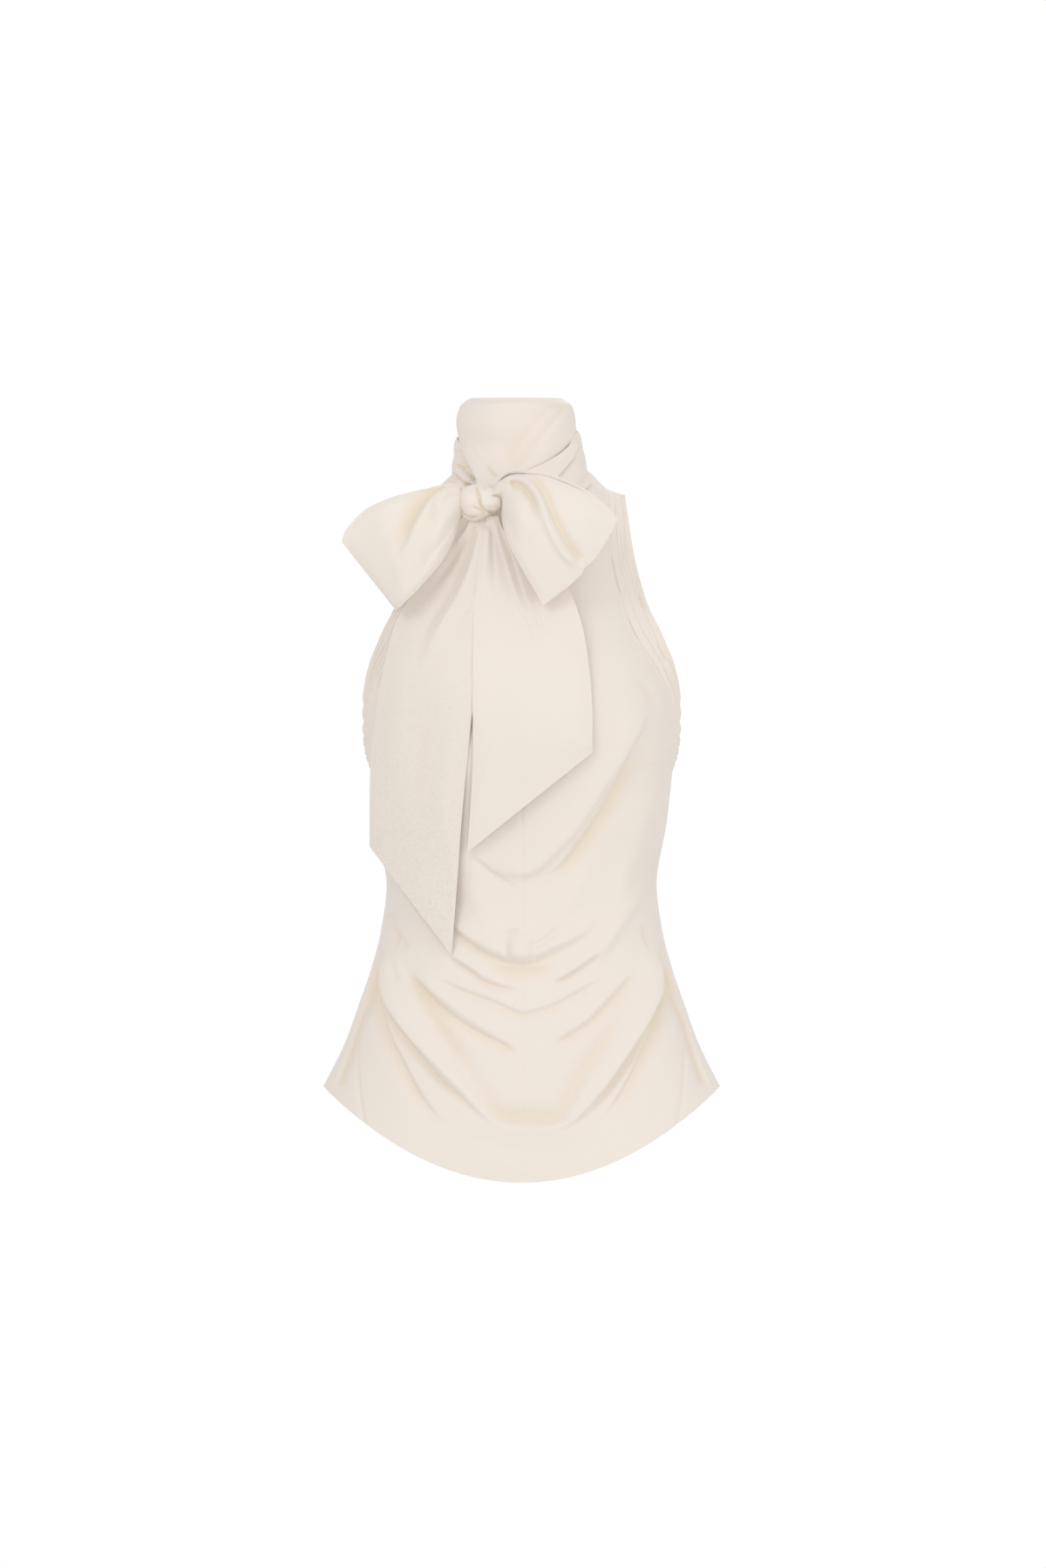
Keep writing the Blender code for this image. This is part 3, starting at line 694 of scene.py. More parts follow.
# The front of the collar, drawn down into the knot: outline by height, and how far it leaves
# the standing tube.
DRAPE = [
    Drape(86, -46.5, 36, 0),
    Drape(80, -54.5, 44.5, 0),
    Drape(70, -58.2, 47.8, 0),
    Drape(62, -58.6, 48.6, 0),
    Drape(55, -57.5, 49.5, 1),
    Drape(47, -56, 49.5, 3),
    Drape(38, -52.6, 46, 6),
    Drape(28, -48.4, 36, 11),
    Drape(20, -44.5, 24, 16),
    Drape(13, -41.2, 6, 20),
    Drape(6, -40, -12, 23),
    Drape(-2, -40, -16, 22),
]
DRAPE_CREASES = [
    Crease(-3.6, 3.5, 13, (0.12, 0.2), [
        (42, 82), (31, 69), (19, 53), (7, 38), (-6, 25), (-12, 18)]),
    Crease(2.6, 12, 4, (0.2, 0.25), [(37, 81), (24, 68), (12, 52), (0, 38), (-12, 25)]),
    Crease(1.4, 10, 10, (0.3, 0.3), [(46, 64), (36, 50), (22, 36), (8, 25)]),
    Crease(2.0, 7, 3, (0.15, 0.2), [(-56, 66), (-55, 50), (-51, 37), (-46, 26), (-41, 14)]),
    Crease(-1.8, 1.6, 7, (0.2, 0.1), [(-46, 44), (-42, 36), (-35, 28), (-28, 20), (-22, 14)]),
    Crease(1.8, 6, 5, (0.3, 0.2), [(-46, 42), (-41, 32), (-36, 22), (-31, 12)]),
    Crease(-1.8, 1.6, 1.6, (0.35, 0.15), [(-34, 31), (-29.7, 24), (-25.5, 18), (-21, 12)]),
    Crease(0.9, 10, 10, (0.4, 0.4), [(-30, 74), (-26, 58), (-24, 44)]),
]


OVER_STAND = 1.8        # how far it lies outside the standing tube
TOP_ROLL = 3.0
STITCH_Z, STITCH_RISE = 82.6, 0.35


def drape_shape(u, v):
    """Front of the collar: a half tube above that narrows to the knot."""
    z, left, right, forward = rows_at(DRAPE, v * (len(DRAPE) - 1))
    across = np.clip(2 * u - 1, -1, 1)
    middle, half = (left + right) / 2, (right - left) / 2
    x = middle + half * np.sin(across * math.pi / 2)
    # on the tube: the depth that the collar has at this height and x
    share = np.clip((z - 4) / (COLLAR_TOP - 4), 0, 1)
    place = np.interp(share, [row.share for row in STAND], range(len(STAND)))
    _, wide, front, _, lean = rows_at(STAND, place)
    inside = np.clip(np.abs(x - lean) / (wide + OVER_STAND), 0, 0.999)
    y = (front - OVER_STAND) * np.sqrt(1 - inside ** 2)
    gather = soft((50 - z) / 45) * (1 - soft((across - 0.05) / 0.8))
    flat_y = front - OVER_STAND - forward + 6.0 * across ** 2
    y = lerp(y, flat_y, gather)
    lift = crease_lift(DRAPE_CREASES, x, z)
    stitched = STITCH_RISE * hump(z - STITCH_Z, 0.5) * soft((COLLAR_TOP - z) / 1.5)
    roll = TOP_ROLL * soft((z - 80) / 6)
    y = y - lift + roll + stitched
    return x, y, z, fold_shade_share(lift, 0.5, 9)


# ---- the tie round the neck

Wrap = namedtuple("Wrap", "angle low_r low_z high_r high_z")
WRAPS = [
    Wrap(-26, 74, 2, 72, 10),
    Wrap(-12, 73, 1, 71, 13),
    Wrap(0, 71, 0, 68, 17),
    Wrap(20, 68, -1, 62, 26),
    Wrap(38, 66.5, 0, 58, 34.5),
    Wrap(55, 63.5, 7.5, 55.3, 43.5),
    Wrap(72, 60.5, 15, 53.8, 52.5),
    Wrap(88, 58.8, 22, 54.6, 56.5),
    Wrap(135, 61, 31, 57.5, 58),
    Wrap(180, 62, 34, 59.5, 59),
    Wrap(225, 61, 31, 58, 56),
    Wrap(270, 61.5, 18, 54.5, 50),
    Wrap(290, 64, 11, 54, 45),
    Wrap(305, 67, 5, 55, 36),
    Wrap(318, 69, 1, 58, 24),
    Wrap(328, 70, -1, 61, 13),
]
WRAP_CREASES = [
    # right: an upper fold lying over a lower one, both running down to the knot
    Crease(2.6, 11, 0.8, (0.08, 0.12), [
        (8, 3), (20, 7.5), (29.9, 13.3), (36.7, 22), (44.5, 31.8), (48.4, 39.7), (52.3, 45.5)]),
    Crease(-2.0, 0.9, 1.7, (0.2, 0.1), [
        (25, 8), (30.7, 12.6), (37.5, 21.3), (45.3, 31), (49.2, 39), (53, 44.6)]),
    Crease(1.5, 14, 6, (0.2, 0.3), [(40, 4), (48, 11), (54, 19), (57, 30)]),
    Crease(1.2, 5, 2.4, (0.2, 0.3), [(6, 15), (24, 22), (36, 31), (45, 43)]),
    # left: a leaf of cloth between two sharp lines, with a pocket at its lower end
    Crease(2.4, 2.8, 2.6, (0.15, 0.2), [(-62, 22), (-54, 17.6), (-49, 12.8), (-42, 9.5)]),
    Crease(-2.4, 1.4, 0.9, (0.1, 0.12), [(-61, 26), (-54.1, 23.4), (-47.3, 17.6), (-40, 11.8)]),
    Crease(-2.6, 0.9, 1.2, (0.1, 0.2), [(-62, 19.5), (-55.1, 12.1), (-50.2, 8.2), (-45, 6.6)]),
    Crease(-4.0, 2.0, 2.0, (0.3, 0.2), [(-53, 9.5), (-49, 7), (-44, 6.5)]),
    Crease(-2.6, 3, 6, (0.25, 0.2), [(-58, 42), (-54, 32), (-48, 22)]),
]


def wrap_shape(u, v):
    """The tie round the neck, in overlapping folds that gather to the knot."""
    angle, low_r, low_z, high_r, high_z = rows_at(WRAPS, u * (len(WRAPS) - 1))
    up = 1 - v
    turn = np.radians(angle)
    radius = lerp(low_r, high_r, up) + 1.4 * np.sin(math.pi * up)
    lean = lerp(-1.0, -4.0, up)
    x, y = radius * np.sin(turn) + lean, -radius * np.cos(turn)
    z = lerp(low_z, high_z, up)
    front = soft((np.cos(turn) + 0.25) / 0.35)
    lift = crease_lift(WRAP_CREASES, x, z) * front
    behind = 1.0 * np.sin(3 * math.pi * up + 0.6 * np.sin(2 * turn)) * (1 - front)
    x, y = x + (lift + behind) * np.sin(turn), y - (lift + behind) * np.cos(turn)
    return x, y, z, fold_shade_share(lift, 0.6, 7)


# ---- bow loops

Span = namedtuple("Span", "top_x top_z low_x low_z back_y puff")
LEFT_LOOP = [
    Span(-47, -2, -47, -14, -86, 10),
    Span(-52, 1, -52, -19, -87, 12),
    Span(-57, 7, -57, -30, -90, 16),
    Span(-66, 7.5, -62, -45, -94, 19),
    Span(-85, 3, -72, -63, -101, 21),
    Span(-108, -2.5, -90, -84, -105, 21),
    Span(-126, -9, -101, -95, -105, 18),
    Span(-141, -17, -107, -101, -103, 13),
    Span(-156, -33, -111, -104, -101, 7),
    Span(-160.3, -44.6, -112, -105, -100, 2.6),
]
RIGHT_LOOP = [
    Span(-27, 2, -27, -10, -88, 11),
    Span(-20, 10, -19, -6, -89, 14),
    Span(-10, 15.5, -18, -14, -93, 17),
    Span(3, 16, -16, -30, -101, 20),
    Span(20, 14.5, -12, -45, -108, 22),
    Span(38, 8.0, -5, -59, -112, 22),
    Span(57, -1, 4, -75, -115, 18),
    Span(74, -13, 13, -90, -117, 10),
    Span(86, -24, 19, -101, -117.5, 2.6),
]
LEFT_CREASES = [
    Crease(-5.0, 1.8, 14, (0.1, 0.5), [
        (-66, 8), (-71, 5), (-79, -1), (-89, -13), (-99, -31), (-106, -48), (-121, -68)]),
    Crease(3.6, 8, 2.4, (0.1, 0.5), [
        (-62, 6), (-70, 2), (-80, -6), (-90, -21), (-98, -41), (-108, -62)]),
    Crease(-2.8, 1.6, 3.5, (0.15, 0.3), [
        (-50, 6), (-60, 6.5), (-68, 4), (-74, -3), (-76, -13), (-75, -26), (-71, -36)]),
    Crease(-1.6, 1.6, 2.5, (0.2, 0.4), [(-53, -1), (-60, -2), (-66, -6), (-69, -12)]),
    Crease(2.0, 6, 5, (0.2, 0.4), [(-56, -8), (-64, -20), (-74, -44), (-84, -66)]),
    Crease(-2.4, 2.5, 6, (0.15, 0.4), [
        (-52, -17), (-60, -27), (-70, -42), (-82, -58), (-96, -80)]),
    Crease(1.4, 12, 12, (0.4, 0.4), [(-100, 0), (-124, -22), (-138, -50)]),
]
RIGHT_CREASES = [
    Crease(4.2, 4.0, 3.6, (0.05, 0.12), [
        (-18, 9), (-10, 12.5), (-1, 12), (8, 6), (14, -3), (18, -13), (22, -26), (27, -38),
        (35, -52), (44, -62), (52, -68)]),
    Crease(-4.4, 6, 1.6, (0.15, 0.12), [
        (-2, 15), (10.3, 9.6), (17.4, 0.8), (22.4, -10), (27.9, -24), (33.8, -35), (40, -46),
        (48, -57), (57, -66)]),
    Crease(-5.0, 2.0, 5, (0.08, 0.5), [
        (-12, 9), (-1, 7.2), (6, 0), (11, -7), (13, -18), (10, -34)]),
    Crease(2.6, 10, 8, (0.25, 0.5), [(-10, -2), (-4, -20), (2, -44)]),
    Crease(-1.4, 3, 5, (0.3, 0.4), [(-16, -4), (-12, -26), (-4, -48)]),
    Crease(2.2, 12, 8, (0.3, 0.3), [(24, 10), (44, -2), (62, -22), (70, -38)]),
    Crease(-1.4, 4, 8, (0.3, 0.4), [(30, 8), (50, -4), (70, -18)]),
]


# how the right loop's outer fold bows out, how far its rear layer stands up behind the front
# one, and how far the fold is drawn in where the main crease meets it
RIGHT_FOLD = {"bow": 8.0, "rear_rise": 4.0, "nick": 1.8}
NICK_WIDE, HEM_LIP = 0.05, 2.4


def loop_shape(spans, creases, bow=0.0, rear_rise=0.5, nick=0.0):
    """Bow loop: out from the knot in front, round a pressed fold and back behind."""
    last = len(spans) - 1

    def shape(u, v):
        turn = 2 * u
        rear = turn > 1
        place = np.where(rear, 2 - turn, turn)
        # more of the grid near the outer fold, which is tight
        place = 1 - (1 - place) ** 1.25
        top_x, top_z, low_x, low_z, back_y, puff = rows_at(spans, place * last)
        w = v
        x, z = lerp(top_x, low_x, w), lerp(top_z, low_z, w)
        out = bow * np.sin(math.pi * w) * place ** 2
        out = out - nick * hump(w - 0.5, NICK_WIDE) * place ** 6
        x, z = x + 0.75 * out, z - 0.65 * out
        mouth = np.sin(math.pi * place) ** 0.7
        z = z + np.where(rear, rear_rise * (1 - w) * mouth, 0)
        y = back_y - 4.0 * w * soft(place)
        round_off = lerp(1.0, np.sin(math.pi * (0.12 + 0.76 * w)), 0.75)
        lift = crease_lift(creases, x, z)
        keep = soft((1 - place) / 0.12) * soft(place / 0.06)
        front_y = y - puff * round_off - lift * lerp(0.25, 1.0, keep)
        edge = np.minimum(w, 1 - w)
        front_y = front_y + HEM_LIP * hump(edge, 0.035) * keep
        rear_y = y + 0.8 * np.sin(6 * w + 3 * place) * keep - 0.36 * puff * hump(w, 0.12)
        y = np.where(rear, rear_y, np.minimum(front_y, rear_y - 1.8))
        return x, y, z, np.where(rear, 0.0, fold_shade_share(lift, 0.45, 9, start=0.6))
    return shape


# ---- tails

Edge = namedtuple("Edge", "left_x left_z right_x right_z")
LEFT_TAIL = [
    Edge(-44, -18, -30, -18), Edge(-50, -33, -28, -34), Edge(-62, -48, -28, -50),
    Edge(-84, -75, -30, -80), Edge(-109, -108, -32, -115), Edge(-122, -150, -35, -155),
    Edge(-130, -195, -43.6, -195), Edge(-135, -242, -48.5, -240), Edge(-136, -285, -53.5, -292),
    Edge(-136, -303, -57, -340), Edge(-136, -316, -62.6, -413),
]
RIGHT_TAIL = [
    Edge(-31, -21, -21, -21), Edge(-34, -34, -16, -34), Edge(-37, -50, 0, -48),
    Edge(-40.5, -80, 34, -72), Edge(-43, -115, 52, -112), Edge(-43.5, -155, 60, -155),
    Edge(-43.6, -195, 63, -195), Edge(-43.5, -235, 63, -218), Edge(-45.5, -278, 63, -226),
    Edge(-48.5, -321, 63, -232),
]
LEFT_TAIL_CREASES = [
    Crease(4.2, 12, 3.0, (0.06, 0.35), [
        (-38, -24), (-42, -42), (-47, -63), (-57, -86), (-75, -116), (-86, -141), (-92, -163)]),
    Crease(-3.0, 1.8, 8, (0.08, 0.35), [
        (-39, -26), (-43, -43), (-49, -65), (-60, -90), (-77, -119), (-88, -144), (-95, -164)]),
    Crease(2.0, 8, 5, (0.2, 0.4), [(-32, -30), (-34, -66), (-41, -88), (-50, -108)]),
    Crease(-1.6, 2.5, 5, (0.2, 0.35), [
        (-31, -38), (-34, -66), (-40, -86), (-49, -104), (-60, -122)]),
    Crease(-1.8, 3, 4, (0.2, 0.4), [(-48, -36), (-62, -62), (-84, -90)]),
    Crease(1.8, 14, 14, (0.3, 0.5), [(-100, -130), (-112, -200), (-116, -290)]),
    Crease(-1.4, 14, 14, (0.3, 0.5), [(-84, -170), (-88, -240), (-92, -330)]),
    Crease(1.2, 12, 12, (0.4, 0.5), [(-62, -180), (-66, -260), (-70, -360)]),
]
RIGHT_TAIL_CREASES = [
    Crease(2.6, 5, 9, (0.12, 0.4), [(-30, -28), (-31, -52), (-36, -78), (-42, -98)]),
    Crease(3.8, 11, 3.0, (0.06, 0.35), [
        (-24, -24), (-19, -42), (-13, -62), (-2, -98), (9, -120), (13, -140), (15, -158)]),
    Crease(-3.0, 1.8, 8, (0.08, 0.35), [
        (-21, -26), (-15, -44), (-8, -62), (3, -97), (14, -120), (19, -140), (22, -156)]),
    Crease(-1.5, 2, 3.5, (0.25, 0.3), [(9, -96), (12, -101), (19, -113), (31, -134)]),
    Crease(-1.6, 2, 3, (0.1, 0.4), [(-27, -24), (-26, -50), (-24, -78), (-26, -104)]),
    Crease(1.8, 16, 14, (0.35, 0.5), [(-8, -120), (0, -190), (-6, -270)]),
    Crease(1.3, 12, 12, (0.4, 0.5), [(40, -110), (48, -160), (50, -220)]),
]


def hang_depth(z):
    """How far forward the tails hang at a height, with the table's corners rounded off."""
    total = 0.0
    for step in np.linspace(-24, 24, 9):
        total = total + np.interp(-z + step, [-row.z for row in HANGS],
                                  [row.depth for row in HANGS])
    return total / 9


# how far the edges of a tail turn back towards the body: at the split, outer side and hem
SPLIT_ROLL, SIDE_ROLL, HEM_ROLL = 4.2, 3.5, 5.5
SWELL = {"x": -35.0, "z": -44.0, "wide": 30.0, "high": 30.0, "out": 8.0}   # below the knot


def tail_shape(edges, creases, ahead, tuck, inner):
    """A hanging end of the tie: gathered under the knot, cut on a slant below.

    ahead brings the whole tail forward; tuck takes its right edge back near the knot. inner is
    the u of the edge at the split, which is pressed down above and rolls back to the body below.
    """
    last = len(edges) - 1

    def shape(u, v):
        left_x, left_z, right_x, right_z = rows_at(edges, v * last)
        x, z = lerp(left_x, right_x, u), lerp(left_z, right_z, u)
        depth = hang_depth(z)
        y = -depth * (1 - TAIL_CURVE * (np.abs(x) / TAIL_REACH) ** TAIL_POWER) - ahead
        lift = crease_lift(creases, x, z)
        curl = 0.8 * hump(np.minimum(u, 1 - u), 0.03) * soft((v - 0.35) / 0.3)
        under = tuck * soft((x + 50) / 12) * soft((z + 225) / 40)
        from_split = np.abs(u - inner) * np.abs(right_x - left_x)
        roll = SPLIT_ROLL * soft((-190 - z) / 70) * hump(from_split, 13)
        from_side = np.abs(1 - inner - u) * np.abs(right_x - left_x)
        roll = np.maximum(roll, SIDE_ROLL * soft((-95 - z) / 50) * hump(from_side, 11))
        roll = np.maximum(roll, HEM_ROLL * soft((v - 0.72) / 0.28))
        pressed = 1.3 * ahead * soft((z + 150) / 50) * hump(from_split, 5)
        swell = SWELL["out"] * hump(x - SWELL["x"], SWELL["wide"])
        swell = swell * hump(z - SWELL["z"], SWELL["high"])
        y = y - lift - swell + curl + under + roll + pressed
        return x, y, z, fold_shade_share(lift, 0.5, 5, start=1.0)
    return shape


# ---- knot

KNOT_MID = (-37.0, -92.0, -9.5)
KNOT_HALF = (19.6, 17.0, 16.8)
KNOT_POWER = 0.62       # under 1 makes its ends fuller than an egg's
KNOT_CREASES = [
    # between the round lobe on the left and the turns on the right
    Crease(-3.4, 1.2, 1.8, (0.12, 0.15), [
        (-41, 7), (-39.9, 3.5), (-37.5, -4.3), (-36.5, -10.2), (-33.6, -15.1), (-28.7, -18)]),
    Crease(-2.2, 0.9, 1.7, (0.3, 0.1), [
        (-45, -13.6), (-40.5, -14.1), (-36.3, -15.8), (-31.6, -19)]),
    # between the lobe and the strand below it
    Crease(-3.6, 1.1, 1.1, (0.12, 0.2), [
        (-55.8, -11), (-54.2, -16.5), (-50.5, -20.3), (-45.3, -22.2), (-37, -21)]),
    # short slits where the turns come round from behind
    Crease(-4.0, 0.9, 1.1, (0.35, 0.05), [(-28, -2.5), (-23, -3.1), (-15, -3.8)]),
    Crease(-3.6, 1.0, 1.5, (0.2, 0.05), [(-30, -17.2), (-24, -17.4), (-15, -16.6)]),
    Crease(-2.4, 1.0, 1.5, (0.2, 0.15), [(-36.5, 2.4), (-32, 4.8), (-27, 5.4), (-18, 4)]),
    Crease(-4.0, 1.5, 1.5, (0.3, 0.2), [(-31, -15.5), (-28.2, -17.5), (-25, -20)]),
    Crease(2.0, 7, 6, (0.3, 0.3), [(-47, 2), (-47.5, -6), (-44, -14)]),
    Crease(1.4, 2.6, 2.6, (0.3, 0.1), [(-34, 0.6), (-27, 1.4), (-17, 0.4)]),
    Crease(1.7, 3.4, 3.4, (0.3, 0.1), [(-33, -9), (-26, -9.8), (-17, -10.4)]),
    Crease(-0.9, 0.8, 1.3, (0.3, 0.1), [(-31, -13), (-25, -13.6), (-18, -13.4)]),
    Crease(1.4, 1.8, 1.8, (0.2, 0.2), [(-54.5, -19), (-48, -23.8), (-39, -24)]),
]


def knot_shape(u, v):
    """A rounded turn of cloth, pinched towards its lower right."""
    turn, along = 2 * math.pi * u, math.pi * (v - 0.5)
    x0, y0, z0 = KNOT_MID
    half_x, half_y, half_z = KNOT_HALF
    ring = np.cos(along) ** KNOT_POWER
    x = x0 + half_x * np.sign(np.sin(along)) * np.abs(np.sin(along)) ** 0.8
    slim = 1 - 0.16 * soft((x - x0) / 18) - 0.26 * soft((x - x0 + 6) / 14) * (np.sin(turn) < 0)
    y = y0 - half_y * ring * np.cos(turn)
    z = z0 + half_z * slim * ring * np.sin(turn) + 0.6 * soft((x0 - x) / 20)
    front = soft(np.cos(turn) * 1.5 + 0.3)
    lift = crease_lift(KNOT_CREASES, x, z)
    y = y - lift * front * ring
    return x, y, z, fold_shade_share(lift, 0.6, 7) * front


# ---- settings

class BlouseCloth(bpy.types.PropertyGroup):
    colour: bpy.props.FloatVectorProperty(
        name="Cloth colour", description="Colour of the ivory cloth", subtype="COLOR", size=3,
        default=(0.893, 0.815, 0.735), min=0.0, max=1.0)
    # painted shade: the warm, darker tint of shade deep in the folds, painted into the colour
    fold_shade_colour: bpy.props.FloatVectorProperty(
        name="Crease colour", description="Warmer colour deep in the folds", subtype="COLOR",
        size=3, default=(0.84, 0.69, 0.47), min=0.0, max=1.0)
    crease_depth: bpy.props.FloatProperty(
        name="Crease depth", description="Share of the full depth of the front's swags",
        default=1.0, min=0.0, max=1.5)
    body_wall: bpy.props.FloatProperty(
        name="Body cloth", description="Wall of the body panels in millimetres", default=1.1,
        min=0.5, max=3.0)
    tie_wall: bpy.props.FloatProperty(
        name="Tie cloth", description="Wall of the tie in millimetres", default=1.1, min=0.5,
        max=3.0)


class BlouseStage(bpy.types.PropertyGroup):
    distance: bpy.props.FloatProperty(
        name="Camera distance", description="From the camera to the middle of the blouse",
        default=15.64, min=1.0, max=40.0, unit="LENGTH")
    lens: bpy.props.FloatProperty(
        name="Lens", description="Focal length in millimetres", default=400.0, min=30.0,
        max=600.0)
    aim_x: bpy.props.FloatProperty(
        name="Aim across", description="Where the camera looks, across", default=0.0012,
        unit="LENGTH")
    aim_z: bpy.props.FloatProperty(
        name="Aim up", description="Where the camera looks, in height", default=-0.260,
        unit="LENGTH")
    floor_z: bpy.props.FloatProperty(
        name="Floor height", description="Height of the pale floor", default=-1.3,
        unit="LENGTH")
    sky: bpy.props.FloatProperty(
        name="Surrounding light", description="Strength of the even light all round",
        default=0.76, min=0.0, max=5.0)
    key: bpy.props.FloatProperty(
        name="Key light", description="Power of the large soft light", default=12.3, min=0.0,
        max=500.0, unit="POWER")


# ---- operators

class BLOUSE_OT_fronts(bpy.types.Operator):
    """Make the two draped front halves"""
    bl_idname = "blouse.fronts"
    bl_label = "Front halves"

    def execute(self, context):
        for side, hand in ((-1, "left"), (1, "right")):
            cloth_piece("draped_front_" + hand, 112, 335, front_shape(side),
                        context.scene.blouse_cloth.body_wall,
                        material_named("ivory_satin_back"), ["front_" + hand],
                        (0.24, 0.72))
        return {"FINISHED"}


class BLOUSE_OT_back(bpy.types.Operator):
    """Make the plain back panel"""
    bl_idname = "blouse.back"
    bl_label = "Back"

    def execute(self, context):
        cloth_piece("back_panel", 100, 105, back_shape, context.scene.blouse_cloth.body_wall,
                    material_named("ivory_satin_back"), ["back"], (0.47, 0.68))
        return {"FINISHED"}


class BLOUSE_OT_bands(bpy.types.Operator):
    """Make the layered bands round the armholes"""
    bl_idname = "blouse.bands"
    bl_label = "Armhole bands"

    def execute(self, context):
        for side, hand in ((-1, "left"), (1, "right")):
            cloth_piece("armhole_tucks_" + hand, 224, 50, band_shape(side), BAND_WALL,
                        material_named("ivory_crepe_trim"),
                        ["armhole_band_" + hand], (0.56, 0.025),
                        closed=True)
        return {"FINISHED"}


class BLOUSE_OT_collar(bpy.types.Operator):
    """Make the standing collar and its front, drawn down into the knot"""
    bl_idname = "blouse.collar"
    bl_label = "Collar"

    def execute(self, context):
        trim = material_named("ivory_satin_back")
        cloth_piece("standing_collar", 120, 36, collar_shape, TRIM_WALL, trim,
                    ["collar"], (0.34, 0.085), closed=True)
        cloth_piece("collar_front", 120, 110, drape_shape, TRIM_WALL, trim, [],
                    (0.14, 0.095))
        return {"FINISHED"}


class BLOUSE_OT_tie(bpy.types.Operator):
    """Make the tie: round the neck, the knot, the bow loops and the tails"""
    bl_idname = "blouse.tie"
    bl_label = "Tie and bow"

    def execute(self, context):
        wall = context.scene.blouse_cloth.tie_wall
        satin = material_named("ivory_tie_satin")
        cloth_piece("tie_round_neck", 400, 60, wrap_shape, wall, satin,
                    ["neck_wrap"], (0.38, 0.04))
        cloth_piece("bow_knot", 140, 96, knot_shape, wall, satin, ["knot"],
                    (0.11, 0.05), closed=True,
                    inside=KNOT_MID)
        left = loop_shape(LEFT_LOOP, LEFT_CREASES)
        cloth_piece("left_bow_loop", 220, 92, left, wall, satin,
                    ["bow_loop_left"], (0.23, 0.11),
                    inside=(-95, -104, -35))
        right = loop_shape(RIGHT_LOOP, RIGHT_CREASES, **RIGHT_FOLD)
        cloth_piece("right_bow_loop", 220, 92, right, wall, satin,
                    ["bow_loop_right"], (0.23, 0.11),
                    inside=(20, -118, -35))
        left = tail_shape(LEFT_TAIL, LEFT_TAIL_CREASES, ahead=0.0, tuck=1.5, inner=1)
        cloth_piece("left_tail", 90, 195, left, wall, material_named("ivory_tie_crepe"),
                    ["tail_left"], (0.11, 0.40))
        right = tail_shape(RIGHT_TAIL, RIGHT_TAIL_CREASES, ahead=1.0, tuck=0.0, inner=0)
        cloth_piece("right_tail", 100, 180, right, wall, satin, ["tail_right"],
                    (0.11, 0.31))
        return {"FINISHED"}


LIT_POINT = Vector((0, -0.05, -0.26))
Lamp = namedtuple("Lamp", "name place size share")      # share of the key light's power
LAMPS = [
    Lamp("key_light", (-1.4, -2.4, 1.3), 1.3, 1.0),
    Lamp("fill_light", (2.1, -2.1, 0.2), 2.0, 0.9),
    Lamp("front_light", (0.0, -3.4, 0.1), 0.8, 0.4),
    Lamp("back_light", (0.6, 2.6, 1.6), 1.6, 0.7),
]
FLOOR_RADIUS = 1.25


def area_light(lamp, power):
    light = bpy.data.lights.new(lamp.name, "AREA")
    light.shape, light.size, light.energy = "DISK", lamp.size, power * lamp.share
    made = bpy.data.objects.new(lamp.name, light)
    made.location = lamp.place
    made.rotation_mode = "QUATERNION"
    made.rotation_quaternion = (LIT_POINT - Vector(lamp.place)).to_track_quat("-Z", "Y")
    bpy.context.scene.collection.objects.link(made)


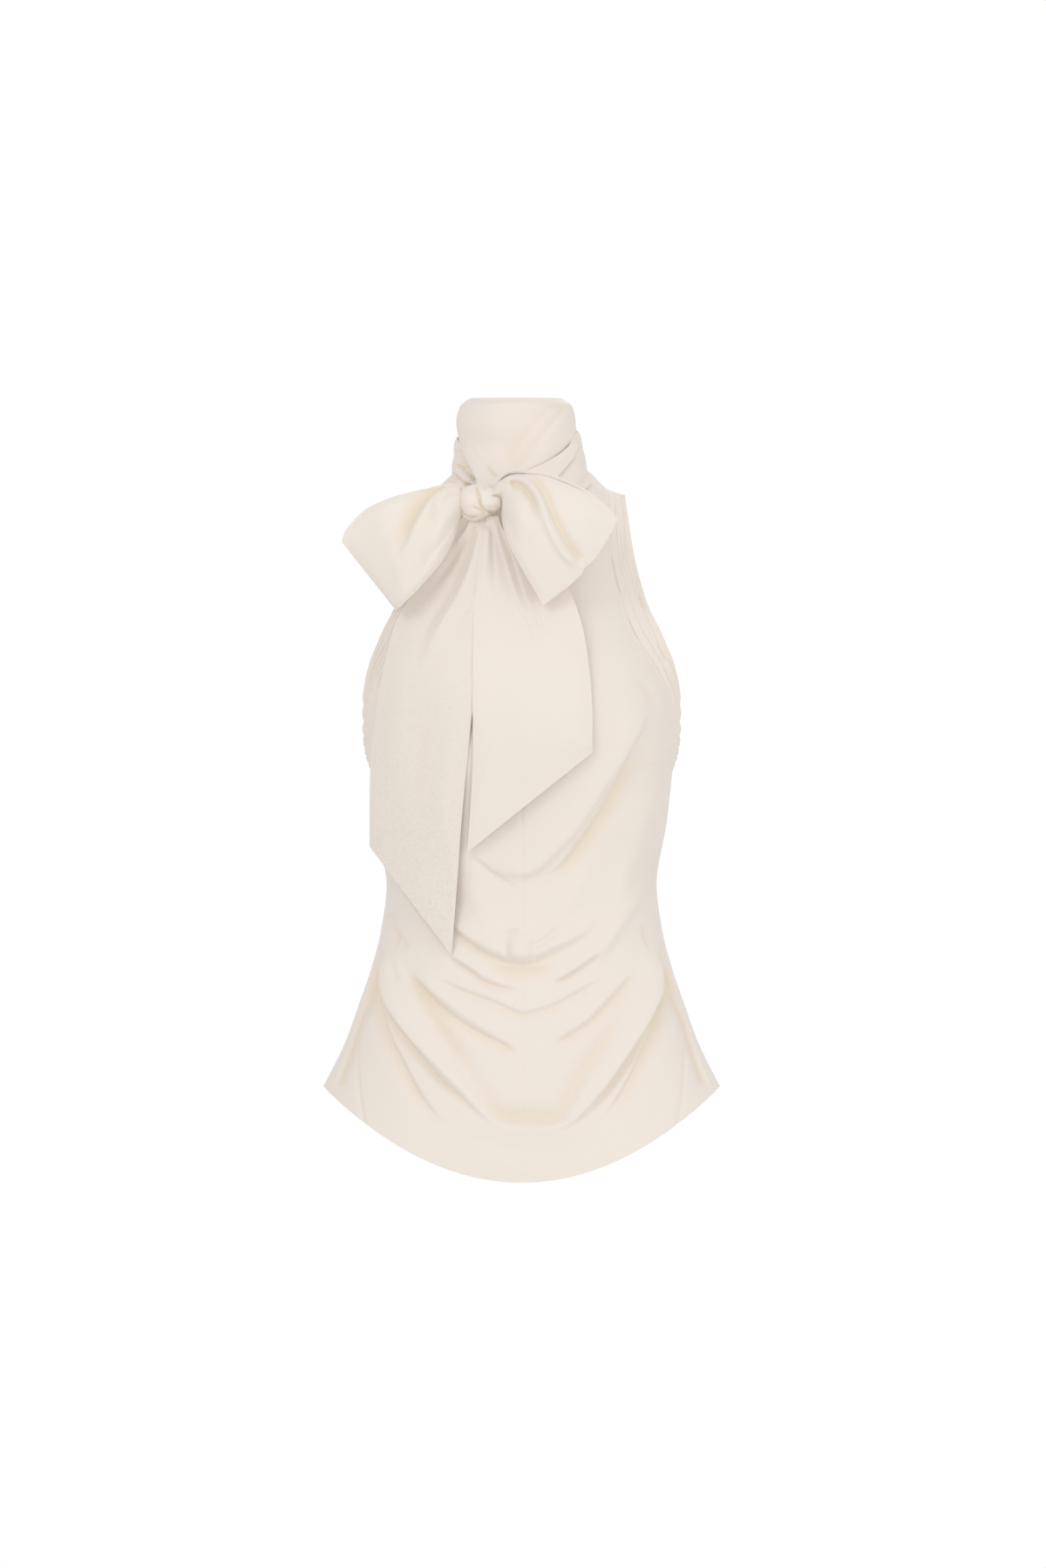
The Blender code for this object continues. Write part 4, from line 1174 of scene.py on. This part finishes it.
class BLOUSE_OT_stage(bpy.types.Operator):
    """Make the pale floor, the soft studio light and the camera"""
    bl_idname = "blouse.stage"
    bl_label = "Stage"

    def execute(self, context):
        scene = context.scene
        stage = scene.blouse_stage
        bm = bmesh.new()
        bmesh.ops.create_circle(bm, cap_ends=True, segments=96, radius=FLOOR_RADIUS)
        bmesh.ops.translate(bm, verts=bm.verts, vec=(0, 0, stage.floor_z))
        mesh = bpy.data.meshes.new("floor")
        bm.to_mesh(mesh)
        bm.free()
        finish = Finish("pale_floor")
        finish.shader.inputs["Base Color"].default_value = (0.9, 0.9, 0.9, 1)
        finish.shader.inputs["Roughness"].default_value = 0.8
        mesh.materials.append(finish.material)
        floor = bpy.data.objects.new("floor", mesh)
        scene.collection.objects.link(floor)

        world = bpy.data.worlds.new("studio")
        world.use_nodes = True
        tree = world.node_tree
        tree.nodes.clear()
        path = tree.nodes.new("ShaderNodeLightPath")
        blend = tree.nodes.new("ShaderNodeMixShader")
        out = tree.nodes.new("ShaderNodeOutputWorld")
        tree.links.new(path.outputs["Is Camera Ray"], blend.inputs[0])
        tree.links.new(blend.outputs[0], out.inputs[0])
        # the light that falls on the cloth, then the white that the camera sees
        for strength, socket in ((stage.sky, blend.inputs[1]), (1.0, blend.inputs[2])):
            background = tree.nodes.new("ShaderNodeBackground")
            background.inputs["Color"].default_value = (1, 1, 1, 1)
            background.inputs["Strength"].default_value = strength
            tree.links.new(background.outputs[0], socket)
        scene.world = world

        for lamp in LAMPS:
            area_light(lamp, stage.key)

        camera = bpy.data.cameras.new("camera")
        camera.lens, camera.sensor_width = stage.lens, 36.0
        camera.dof.use_dof = False
        made = bpy.data.objects.new("camera", camera)
        made.location = (stage.aim_x, -stage.distance, stage.aim_z)
        made.rotation_euler = (math.pi / 2, 0, 0)
        scene.collection.objects.link(made)
        scene.camera = made
        scene.view_settings.view_transform = "Standard"
        scene.view_settings.look = "None"
        return {"FINISHED"}


class BLOUSE_PT_panel(bpy.types.Panel):
    bl_label = "Blouse"
    bl_idname = "BLOUSE_PT_panel"
    bl_space_type = "VIEW_3D"
    bl_region_type = "UI"
    bl_category = "Blouse"

    def draw(self, context):
        layout = self.layout
        for group in (context.scene.blouse_cloth, context.scene.blouse_stage):
            for key in group.__annotations__:
                layout.prop(group, key)
        for kind in OPERATORS:
            layout.operator(kind.bl_idname)


OPERATORS = (BLOUSE_OT_fronts, BLOUSE_OT_back, BLOUSE_OT_bands, BLOUSE_OT_collar,
             BLOUSE_OT_tie, BLOUSE_OT_stage)
GROUPS = (BlouseCloth, BlouseStage)


def register():
    for kind in GROUPS + OPERATORS + (BLOUSE_PT_panel,):
        bpy.utils.register_class(kind)
    bpy.types.Scene.blouse_cloth = bpy.props.PointerProperty(type=BlouseCloth)
    bpy.types.Scene.blouse_stage = bpy.props.PointerProperty(type=BlouseStage)


def unregister():
    del bpy.types.Scene.blouse_stage
    del bpy.types.Scene.blouse_cloth
    for kind in reversed(GROUPS + OPERATORS + (BLOUSE_PT_panel,)):
        bpy.utils.unregister_class(kind)


def main():
    register()
    bpy.ops.blouse.fronts()
    bpy.ops.blouse.back()
    bpy.ops.blouse.bands()
    bpy.ops.blouse.collar()
    bpy.ops.blouse.tie()
    bpy.ops.blouse.stage()


if __name__ == "__main__":
    main()
